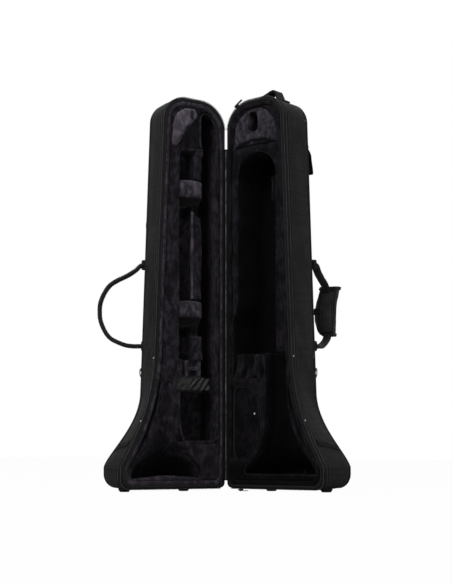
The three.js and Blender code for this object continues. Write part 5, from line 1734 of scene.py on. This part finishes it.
def wrap_flap(spot):
    """The flap that closes the wrap, with its bound edge and pull tab"""
    inner = WRAP_AT[0] - FLAP_IN
    middle = (WRAP_LOW + WRAP_HIGH) / 2
    sides = ((0, -1, 0), (0, 0, 1))
    flap = plate("wrap_flap", spot, (inner, FLAP_ASIDE, middle), *sides, **FLAP_PLATE)
    ruffle(flap, height=0.9, size=18, seed=35)
    settle(flap, "nylon_wrap", spot.body, "nylon")
    edge = rounded_loop(FLAP_EDGE, FLAP_PLATE["corner"])
    path = np.stack([np.full(len(edge), inner - FLAP_EDGE_IN), edge[:, 0], edge[:, 1] + middle], 1)
    rim = swept("wrap_flap_binding", spot, path, (1, 0, 0), oval(width=3.2, thick=5.0), loop=True)
    settle(rim, "webbing", spot.body, "binding")
    at = (inner - FLAP_TAB_IN, FLAP_TAB_ASIDE, middle)
    tab = plate("wrap_pull_tab", spot, at, *sides, size=(14, 18), thick=2.0)
    settle(tab, "webbing", spot.body, "binding")


# The grab handle, as distances from the hinge and heights above the crown
GRAB_LINE = (
    (31, -17), (43, -9), (58, -0.6), (76, 8), (94, 16), (111, 23), (120, 22), (125, 13), (130, 2.6),
    (137, -1.4), (145, -5),
)
GRAB_POINTS = 90
GRAB_DEPTH = 62
GRAB_STITCHES_ASIDE = (-15.5, 15.5)
GRAB_STITCHES_OUT = 2.6
GRAB_SEWN_AT = (6, 14, 76, 84)
GRAB_SEWN_ASIDE = (-15, 15)
GRAB_SEWN_OUT = 2.7


def grab_handle():
    """The webbing handle on top, sewn down at both ends"""
    path = smooth_path([(x, GRAB_DEPTH, CROWN + rise) for x, rise in GRAB_LINE], GRAB_POINTS)
    section = oval(width=37, thick=5.2, count=28, squareness=5)
    obj = swept("grab_handle_webbing", BELL, path, (0, 1, 0), section)
    ruffle(obj, height=1.0, size=20, seed=41)
    settle(obj, "zip_tape", BELL.body, "binding", "grab_handle")
    through = np.cross(headings(path), (0, 1, 0))
    rows = []
    for side in (-1, 1):
        for aside in GRAB_STITCHES_ASIDE:
            rows.append(path + through * side * GRAB_STITCHES_OUT + (0, aside, 0))
    for first in GRAB_SEWN_AT:
        at = path[first] - through[first] * GRAB_SEWN_OUT
        rows.append([at + (0, aside, 0) for aside in GRAB_SEWN_ASIDE])
    stitches("grab_handle_stitching", BELL, rows, BELL.body, radius=0.5)


# Pockets

POCKET_LEFT = 36
# Each pocket with its right edge, and its heights with how far it stands out at each of them
POCKETS = (
    (BELL, 166, (612, 625, 700, 860), (6, 8, 9, 8.5), 1.0),
    (LID, 172, (604, 616, 640, 682, 716), (6, 8, 13, 25, 12.5), 2.0),
)
POCKET_SEAM_STEPS = np.array([0, 0.6, 1.8, 4, 8])
POCKET_SEAM_SHARES = np.array([0, 0.45, 0.75, 0.92, 1.0])
POCKET_MARGIN = 12
POCKET_OUT = 1.3
POCKET_SAG = 0.18
POCKET_SAG_LENGTHS = (40, 40)
POCKET_GRID = (40, 44)
POCKET_THICK = 1.8
POCKET_BINDING_IN = (0, 0.8, 0)
STITCHES_OUT = (0, 0.5, 0)


def pocket(half, right, levels, profile, seed):
    """A pocket's outer panel: sewn to the back at its sides and foot, and open at its top"""
    name = f"{half.name}_pocket_panel"
    steps = POCKET_SEAM_STEPS
    inner = np.linspace(POCKET_LEFT + POCKET_MARGIN, right - POCKET_MARGIN, POCKET_GRID[0])
    xs = np.concatenate([POCKET_LEFT + steps, inner, (right - steps)[::-1]])
    share = np.concatenate([POCKET_SEAM_SHARES, np.ones(len(inner)), POCKET_SEAM_SHARES[::-1]])
    low, high = levels[0], levels[-1]
    zs = np.concatenate([low + steps, np.linspace(low + POCKET_MARGIN, high, POCKET_GRID[1])])
    rows = []
    for number, z in enumerate(zs):
        rise = POCKET_SEAM_SHARES[number] if number < len(steps) else 1.0
        sag = [uneven(x, z, POCKET_SAG_LENGTHS, seed) for x in xs]
        base = back_surface(half, xs, z) + POCKET_OUT
        out = np.interp(z, levels, profile) * rise * (1 + POCKET_SAG * np.array(sag))
        full = half.depth + POCKET_OUT + out
        rows.append(np.stack([xs, base + (full - base) * share, np.full(len(xs), z)], 1))
    obj = solidified(grid_piece(name, half, rows), POCKET_THICK)
    settle(obj, "nylon_woven", half.body, "nylon", f"{half.name}_pocket")
    section = oval(width=9, thick=3.4)
    binding = swept(f"{name}_binding", half, rows[-1] - POCKET_BINDING_IN, (0, 0, 1), section)
    settle(binding, "zip_tape", half.body, "binding")
    grid = np.array(rows) + STITCHES_OUT
    sewn = [grid[4:, 5], grid[4:, -6], grid[5, 5:-5]]
    stitches(f"{name}_stitching", half, sewn, half.body, slot="nylon")


# The flap over the bell half's pocket: its foot, its hinge, how far it stands out up its height,
# and the strip that sews it down above the hinge
FLAP_FOOT = 815
FLAP_HINGE = 874.3
FLAP_TOP = 888
FLAP_GAPS = (0.6, 0.4)
FLAP_LEVELS = (815, 817, 862, 869, 872, 874.3)
FLAP_OUTS = (20.5, 20.8, 13, 7.2, 3.8, 2.4)
FLAP_OVERHANG = 2
FLAP_OFF_BACK = 0.6
FLAP_THICK = 2.2
FLAP_HEM_RADIUS = 2.2
FLAP_HEM_IN = (0, 1.4, 0)
FLAP_STRIP_OUTS = (2.2, 2.4, 2.4, 2.4, 2.3, 2.1, 1.5)
FLAP_STRIP_THICK = 1.4
FLAP_STRIP_STITCHES_OUT = (0, 0.25, 0)
FLAP_GRID = (60, 44)
FLAP_WAVE_SHARE = 0.1
FLAP_WAVE_LENGTHS = (30, 30)
FLAP_SEED = 5.0
FOOT_SEED = 9.0
FOOT_WAVE = 1.4
FOOT_WAVE_LENGTH = 22
FOOT_WAVE_OVER = 60


def pocket_flap():
    """The flap over the bell half's pocket, which stands out at its foot"""
    right = POCKETS[0][1] + FLAP_OVERHANG
    xs = np.linspace(POCKET_LEFT - FLAP_OVERHANG, right, FLAP_GRID[0])
    rows = []
    for z in np.linspace(FLAP_FOOT, FLAP_HINGE - FLAP_GAPS[0], FLAP_GRID[1]):
        out = np.interp(z, FLAP_LEVELS, FLAP_OUTS)
        wave = np.array([1 + FLAP_WAVE_SHARE * uneven(x, z, FLAP_WAVE_LENGTHS, FLAP_SEED) for x in xs])
        foot = np.array([FOOT_WAVE * uneven(x, FOOT_SEED, (FOOT_WAVE_LENGTH, 1), 0) for x in xs])
        foot *= (FLAP_HINGE - z) / FOOT_WAVE_OVER
        rows.append(np.stack([xs, BELL.depth + FLAP_OFF_BACK + out * wave, z + foot], 1))
    surface = np.array(rows)
    body = "pocket_flap"
    obj = solidified(grid_piece("pocket_flap_panel", BELL, surface), FLAP_THICK)
    settle(obj, "nylon_woven", body, "nylon", "bell_pocket_flap")
    hem = np.concatenate([surface[:0:-1, 0], surface[0], surface[1:, -1]])
    binding = tube_piece("pocket_flap_binding", BELL, hem - FLAP_HEM_IN, FLAP_HEM_RADIUS, sides=10)
    settle(binding, "zip_tape", body, "binding")
    sewn = [row + STITCHES_OUT for row in (surface[-2], surface[-5], surface[3, 3:-3])]
    stitches("pocket_flap_stitching", BELL, sewn, body, slot="nylon")
    rows = []
    for z, out in zip(np.linspace(FLAP_HINGE + FLAP_GAPS[1], FLAP_TOP, 7), FLAP_STRIP_OUTS):
        rows.append([(x, BELL.depth + out, z) for x in xs])
    strip = solidified(grid_piece("pocket_flap_strip", BELL, rows), FLAP_STRIP_THICK)
    settle(strip, "zip_tape", BELL.body, "nylon")
    sewn = [np.array(rows[number][2:-2]) + FLAP_STRIP_STITCHES_OUT for number in (2, 5)]
    stitches("pocket_flap_strip_stitching", BELL, sewn, BELL.body, slot="nylon")


# Rings, feet, rivets and sliders

RING_TURN = math.radians(50)
RING_AT = 306
RING_OUT = 34.8
RING_WIRE_RADIUS = 1.6
# The wire's right side from its bar to its foot, as distance aside and height
RING_LINE = ((-11, 0), (0, 0), (11, 0), (13, -4), (11.6, -12), (6.5, -18), (0, -20))
RING_LEFT = ((-6.5, -18), (-11.6, -12), (-13, -4))
RING_POINTS = 70
RING_TAB_AT = 323


def strap_ring(half):
    at = on_edge(half, RING_AT, RING_TURN, RING_OUT)
    spot = Spot(half, f"{half.name}_strap_ring", about_z(RING_TURN - math.pi / 2), at)
    line = smooth_loop([(x, 0, z) for x, z in (*RING_LINE, *RING_LEFT)], RING_POINTS)
    obj = tube_piece(f"{half.name}_ring_wire", spot, line, RING_WIRE_RADIUS, sides=10, loop=True)
    settle(obj, "plated_steel", spot.body, "steel", f"{half.name}_ring")
    node_name = f"{half.name}_ring_tab"
    tab = cad_copy(f"{node_name}_webbing", node_name, voxel=1.2, smoothing=2)
    settle(tab, "webbing", half.body, "binding", node_name)
    stitch_patch(f"{node_name}_stitching", half, RING_TAB_AT, RING_TURN, reach=9, spread=9)


FEET = (("free", 250), ("hinge", 86))
FOOT_DEPTHS = {"bell": 78, "lid": 68}
FOOT_SIDES = 40
# A foot's tread from its sunk screw outwards, as radii and heights
FOOT_PROFILE = (
    (2.2, 2.4), (3.6, 2.2), (4.4, 0.3), (6, 0), (7.4, 0), (7.8, 0.8), (8.4, 0.8), (8.8, 0), (10.6, 0),
    (11.6, 0.5), (12.4, 2.2), (13.4, 3.4), (14.6, 4.2), (15, 5.2), (15, 8.2), (14.6, 8.9), (6, 9),
)


def feet(half):
    """Rubber feet with a stepped tread and a sunk screw"""
    for name, x in FEET:
        rings = []
        for radius, height in FOOT_PROFILE:
            circle = arc((x, FOOT_DEPTHS[half.name]), radius, 0, 2 * math.pi, FOOT_SIDES)
            rings.append(np.c_[circle, np.full(FOOT_SIDES, height)])
        obj = ring_piece(f"{half.name}_{name}_rubber_foot", half, rings)
        close_ends(obj, FOOT_SIDES, len(rings))
        fix_normals(obj)
        settle(obj, "foot_rubber", half.body, "rubber", f"{half.name}_foot_{name}")


# The rivets' heights and distances along the skin
RIVETS = ((347, 10.5), (179, 11))
RIVET_OUT = 0.9
RIVET_RADIUS = 2.2


def rivets(half):
    points = []
    for height, along in RIVETS:
        points.append(wall_point(half, index_at_height(height), along, RIVET_OUT))
    mesh = bpy.data.meshes.new("points")
    mesh.from_pydata(half.world(points).tolist(), [], [])
    values = {"Radius": RIVET_RADIUS * MM, "Material": FINISHES["plated_steel"]}
    obj = grown(link("points", mesh), "rivet", values, f"{half.name}_wall_rivets")
    settle(obj, "plated_steel", half.body, "steel")


SLIDER_TURN = math.radians(125)
LOWER_SLIDER_AT = (44, 0, FLOOR)
# A slider's parts, from the chain's middle outwards; its pull lies along the chain
PLATE_AT = (0, 1.9, -4.9)
SLIDER_PLATE = {"size": (13, 9.4), "thick": 2.2, "corner": 3.4, "dome": 0.5}
LIP_AT = (0, 4.5, -3.4)
SLIDER_LIP = {"size": (12.4, 5), "thick": 1.1, "corner": 1.5}
BRIDGE_LINE = ((-4.4, 1.9, -5.6), (-3.6, 1.9, -7.2), (0, 1.9, -7.7), (3.6, 1.9, -7.2), (4.4, 1.9, -5.6))
BRIDGE_POINTS = 20
BRIDGE_RADIUS = 0.8
PULL_REACH = 9.5
PULL_DEPTH = 1.9
PULL_OUT = -6.9
RIB_STEPS = (3, 5.4, 7.8, 10.2)
RIB_OUT = -0.85
PULL_TAB = {"size": (26, 7), "thick": 1.2, "corner": 3.2, "dome": 0.2}
PULL_RIB = {"size": (1.1, 4.6), "thick": 0.5, "corner": 0.4}


def slider_spots():
    turn = Matrix.Rotation(-(SLIDER_TURN + math.pi / 2), 3, "Y")
    x = HINGE_SIDE + ARCH_HINGE * (1 + math.cos(SLIDER_TURN))
    z = CROWN - ARCH_DROP - ARCH_HINGE * (1 - math.sin(SLIDER_TURN))
    return (
        ("lower", 1, Spot(BELL, "lower_slider", Matrix.Identity(3), LOWER_SLIDER_AT)),
        ("upper", -1, Spot(BELL, "upper_slider", turn, (x, 0, z))),
    )


def zip_sliders():
    """Each slider: a domed plate, a lip behind the coil, a bridge and a ribbed pull"""
    across, down, up = (1, 0, 0), (0, -1, 0), (0, 0, 1)
    metal = "black_metal"
    for name, towards, spot in slider_spots():
        body = plate(f"zip_{name}_plate", spot, PLATE_AT, across, down, **SLIDER_PLATE)
        settle(body, metal, spot.body, metal, f"zip_slider_{name}")
        lip = plate(f"zip_{name}_lip", spot, LIP_AT, across, up, **SLIDER_LIP)
        settle(lip, metal, spot.body, metal)
        line = smooth_path(BRIDGE_LINE, BRIDGE_POINTS)
        bridge = tube_piece(f"zip_{name}_bridge", spot, line, BRIDGE_RADIUS, sides=8)
        settle(bridge, metal, spot.body, metal)
        at = np.array((PULL_REACH * towards, PULL_DEPTH, PULL_OUT))
        pull = plate(f"zip_{name}_pull_tab", spot, at, across, down, **PULL_TAB)
        settle(pull, metal, f"{name}_pull", metal, f"zip_pull_{name}")
        for number, step in enumerate(RIB_STEPS):
            rib_at = at + (step * towards, 0, RIB_OUT)
            rib = plate(f"zip_{name}_pull_rib_{number}", spot, rib_at, across, down, **PULL_RIB)
            settle(rib, metal, f"{name}_pull", metal)


# Stage

FLOOR_HALF = 6
FLOOR_WHITE = 0.975
WORLD_LIGHT = 0.26
MIDDLE = Vector((0, 0, 0.5))
# Each lamp: how far it stands along the view, aside and above the middle, its size and its power
LAMPS = (
    ("key_light", -1.7, -0.9, 1.7, (1.4, 1.4), 36),
    ("fill_light", -2.4, 1.8, 0.3, (2.0, 2.4), 12),
    ("back_light", 2.4, 0, 1.8, (2.5, 2.0), 20),
)
VIEW_TURN = math.radians(36)
VIEW_DISTANCE = 3.8
VIEW_HEIGHT = 0.126
VIEW_PITCH = math.radians(5.7)
FOCAL_PIXELS = 1493
FRAME_PIXELS = 584
SENSOR = 36
LOOK = Vector((-math.sin(VIEW_TURN), math.cos(VIEW_TURN), 0))
ASIDE = Vector((LOOK.y, -LOOK.x, 0))


def cleared(tree, output):
    """A material's or world's tree without its first nodes, with a new output and the light path"""
    tree.nodes.clear()
    path = tree.nodes.new("ShaderNodeLightPath")
    return tree.nodes.new(output).inputs["Surface"], path.outputs


def white_for(tree, surface, seen, shader, white):
    """Shows white to some rays and the shader to the rest"""
    mixed = node(tree, "ShaderNodeMixShader", {0: seen, 1: shader.outputs[0], 2: white.outputs[0]})
    tree.links.new(mixed.outputs[0], surface)


def stage(colour):
    mesh = bpy.data.meshes.new("floor")
    corners = [(x * FLOOR_HALF, y * FLOOR_HALF, 0) for x, y in ((-1, -1), (1, -1), (1, 1), (-1, 1))]
    mesh.from_pydata(corners, [], [(0, 1, 2, 3)])
    floor = link("floor", mesh)
    material = bpy.data.materials.new("pale_floor")
    material.use_nodes = True
    tree = material.node_tree
    surface, rays = cleared(tree, "ShaderNodeOutputMaterial")
    seen = calc(tree, "MULTIPLY", rays["Is Camera Ray"], FLOOR_WHITE)
    paint = node(tree, "ShaderNodeBsdfDiffuse", {"Color": (*colour, 1)})
    white = node(tree, "ShaderNodeEmission", {"Color": (1, 1, 1, 1), "Strength": 1.0})
    white_for(tree, surface, seen, paint, white)
    mesh.materials.append(material)
    world = bpy.data.worlds.new("studio")
    bpy.context.scene.world = world
    world.use_nodes = True
    tree = world.node_tree
    surface, rays = cleared(tree, "ShaderNodeOutputWorld")
    seen = calc(tree, "MAXIMUM", rays["Is Camera Ray"], rays["Is Glossy Ray"])
    seen = calc(tree, "MAXIMUM", seen, rays["Is Transmission Ray"])
    soft = node(tree, "ShaderNodeBackground", {"Color": (1, 1, 1, 1), "Strength": WORLD_LIGHT})
    white = node(tree, "ShaderNodeBackground", {"Color": (1, 1, 1, 1), "Strength": 1.0})
    white_for(tree, surface, seen, soft, white)


def lamp(name, along, aside, above, size, watts):
    data = bpy.data.lights.new(name, "AREA")
    data.shape = "RECTANGLE"
    data.size, data.size_y = size
    data.energy = watts
    obj = link(name, data)
    obj.location = MIDDLE + LOOK * along + ASIDE * aside + Vector((0, 0, above))
    obj.rotation_euler = (MIDDLE - obj.location).to_track_quat("-Z", "Y").to_euler()


def camera():
    data = bpy.data.cameras.new("camera")
    data.sensor_width = SENSOR
    data.lens = FOCAL_PIXELS * SENSOR / FRAME_PIXELS
    obj = link("camera", data)
    at = HINGE_AT - LOOK * VIEW_DISTANCE
    obj.location = (at.x, at.y, VIEW_HEIGHT)
    aim = LOOK * math.cos(VIEW_PITCH) + Vector((0, 0, math.sin(VIEW_PITCH)))
    obj.rotation_euler = aim.to_track_quat("-Z", "Y").to_euler()
    bpy.context.scene.camera = obj


# Settings


class CaseCloth(bpy.types.PropertyGroup):
    nylon_colour: bpy.props.FloatVectorProperty(
        name="Nylon colour",
        description="Colour of the woven cover",
        subtype="COLOR",
        default=(0.0125, 0.0125, 0.0135),
        min=0,
        max=1,
    )
    yarn_pitch: bpy.props.FloatProperty(
        name="Yarn pitch",
        description="Distance between the yarns of the cover",
        subtype="DISTANCE",
        unit="LENGTH",
        default=0.0012,
        precision=5,
    )


class CaseLining(bpy.types.PropertyGroup):
    plush_colour: bpy.props.FloatVectorProperty(
        name="Plush colour",
        description="Colour of the lining's pile",
        subtype="COLOR",
        default=(0.034, 0.029, 0.038),
        min=0,
        max=1,
    )


class CaseStage(bpy.types.PropertyGroup):
    floor_colour: bpy.props.FloatVectorProperty(
        name="Floor colour",
        description="Colour of the floor",
        subtype="COLOR",
        default=(0.8, 0.8, 0.8),
        min=0,
        max=1,
    )


class CASE_OT_finishes(bpy.types.Operator):
    """Make the materials and the node trees"""

    bl_idname = "case.finishes"
    bl_label = "Finishes"

    def execute(self, context):
        make_finishes(context.scene.case_cloth, context.scene.case_lining)
        for name, made_of in REPEATS.items():
            TREES[name] = repeat_tree(*made_of)
        return {"FINISHED"}


class CASE_OT_covers(bpy.types.Operator):
    """Make the two woven covers with their piping"""

    bl_idname = "case.covers"
    bl_label = "Covers"

    def execute(self, context):
        for half in (BELL, LID):
            cover(half)
            edge_piping(half)
        return {"FINISHED"}


class CASE_OT_zip(bpy.types.Operator):
    """Make the zip tapes, coils and rim stitching"""

    bl_idname = "case.zip"
    bl_label = "Zip"

    def execute(self, context):
        for half in (BELL, LID):
            rim_trim(half)
            zip_coil(half)
        return {"FINISHED"}


class CASE_OT_linings(bpy.types.Operator):
    """Make the two plush linings"""

    bl_idname = "case.linings"
    bl_label = "Linings"

    def execute(self, context):
        for half, stretches in ((BELL, BELL_EDGES), (LID, LID_EDGES)):
            lining(half)
            cavity_edges(half, stretches)
        foot_roll()
        # The frames take the near-black board, partly painted shade where it shows in gaps
        for node_name in ("bell_frame", "lid_frame"):
            shell = frame["nodes"][node_name]
            shell.data.materials.clear()
            shell.data.materials.append(FINISHES["fibre_board"])
        return {"FINISHED"}


class CASE_OT_blocks(bpy.types.Operator):
    """Make the padded blocks, the divider and the accessory box's lid"""

    bl_idname = "case.blocks"
    bl_label = "Blocks"

    def execute(self, context):
        plush_blocks()
        divider()
        accessory_cover()
        slide_strap()
        loop_tab()
        return {"FINISHED"}


class CASE_OT_hinge(bpy.types.Operator):
    """Make the fabric hinge with its cord and tabs"""

    bl_idname = "case.hinge"
    bl_label = "Hinge"

    def execute(self, context):
        hinge_strip()
        return {"FINISHED"}


class CASE_OT_handles(bpy.types.Operator):
    """Make the carry handles, their anchors, the wrap and the grab handle"""

    bl_idname = "case.handles"
    bl_label = "Handles"

    def execute(self, context):
        for half in (BELL, LID):
            carry_handle(half)
            handle_anchors(half)
        handle_wrap()
        grab_handle()
        return {"FINISHED"}


class CASE_OT_pockets(bpy.types.Operator):
    """Make the two back pockets and the flap"""

    bl_idname = "case.pockets"
    bl_label = "Pockets"

    def execute(self, context):
        for values in POCKETS:
            pocket(*values)
        pocket_flap()
        return {"FINISHED"}


class CASE_OT_fittings(bpy.types.Operator):
    """Make the strap rings, feet, rivets and zip sliders"""

    bl_idname = "case.fittings"
    bl_label = "Fittings"

    def execute(self, context):
        for half in (BELL, LID):
            strap_ring(half)
            feet(half)
            rivets(half)
        zip_sliders()
        return {"FINISHED"}


class CASE_OT_stage(bpy.types.Operator):
    """Make the floor, the light and the camera"""

    bl_idname = "case.stage"
    bl_label = "Stage"

    def execute(self, context):
        stage(context.scene.case_stage.floor_colour)
        for values in LAMPS:
            lamp(*values)
        camera()
        context.scene.view_settings.view_transform = "Standard"
        return {"FINISHED"}


OPERATORS = (
    CASE_OT_finishes,
    CASE_OT_stage,
    CASE_OT_covers,
    CASE_OT_zip,
    CASE_OT_linings,
    CASE_OT_blocks,
    CASE_OT_hinge,
    CASE_OT_handles,
    CASE_OT_pockets,
    CASE_OT_fittings,
)


class CASE_PT_panel(bpy.types.Panel):
    """Lists the steps that make the case"""

    bl_idname = "CASE_PT_panel"
    bl_label = "Trombone Case"
    bl_space_type = "VIEW_3D"
    bl_region_type = "UI"
    bl_category = "Case"

    def draw(self, context):
        scene = context.scene
        for settings in (scene.case_cloth, scene.case_lining, scene.case_stage):
            for name in settings.__annotations__:
                self.layout.prop(settings, name)
        for operator in OPERATORS:
            self.layout.operator(operator.bl_idname)


CLASSES = (CaseCloth, CaseLining, CaseStage, *OPERATORS, CASE_PT_panel)


def register():
    for cls in CLASSES:
        bpy.utils.register_class(cls)
    bpy.types.Scene.case_cloth = bpy.props.PointerProperty(type=CaseCloth)
    bpy.types.Scene.case_lining = bpy.props.PointerProperty(type=CaseLining)
    bpy.types.Scene.case_stage = bpy.props.PointerProperty(type=CaseStage)


def unregister():
    del bpy.types.Scene.case_stage
    del bpy.types.Scene.case_lining
    del bpy.types.Scene.case_cloth
    for cls in reversed(CLASSES):
        bpy.utils.unregister_class(cls)


def main():
    register()
    for operator in OPERATORS:
        group, name = operator.bl_idname.split(".")
        getattr(getattr(bpy.ops, group), name)()


if __name__ == "__main__":
    main()
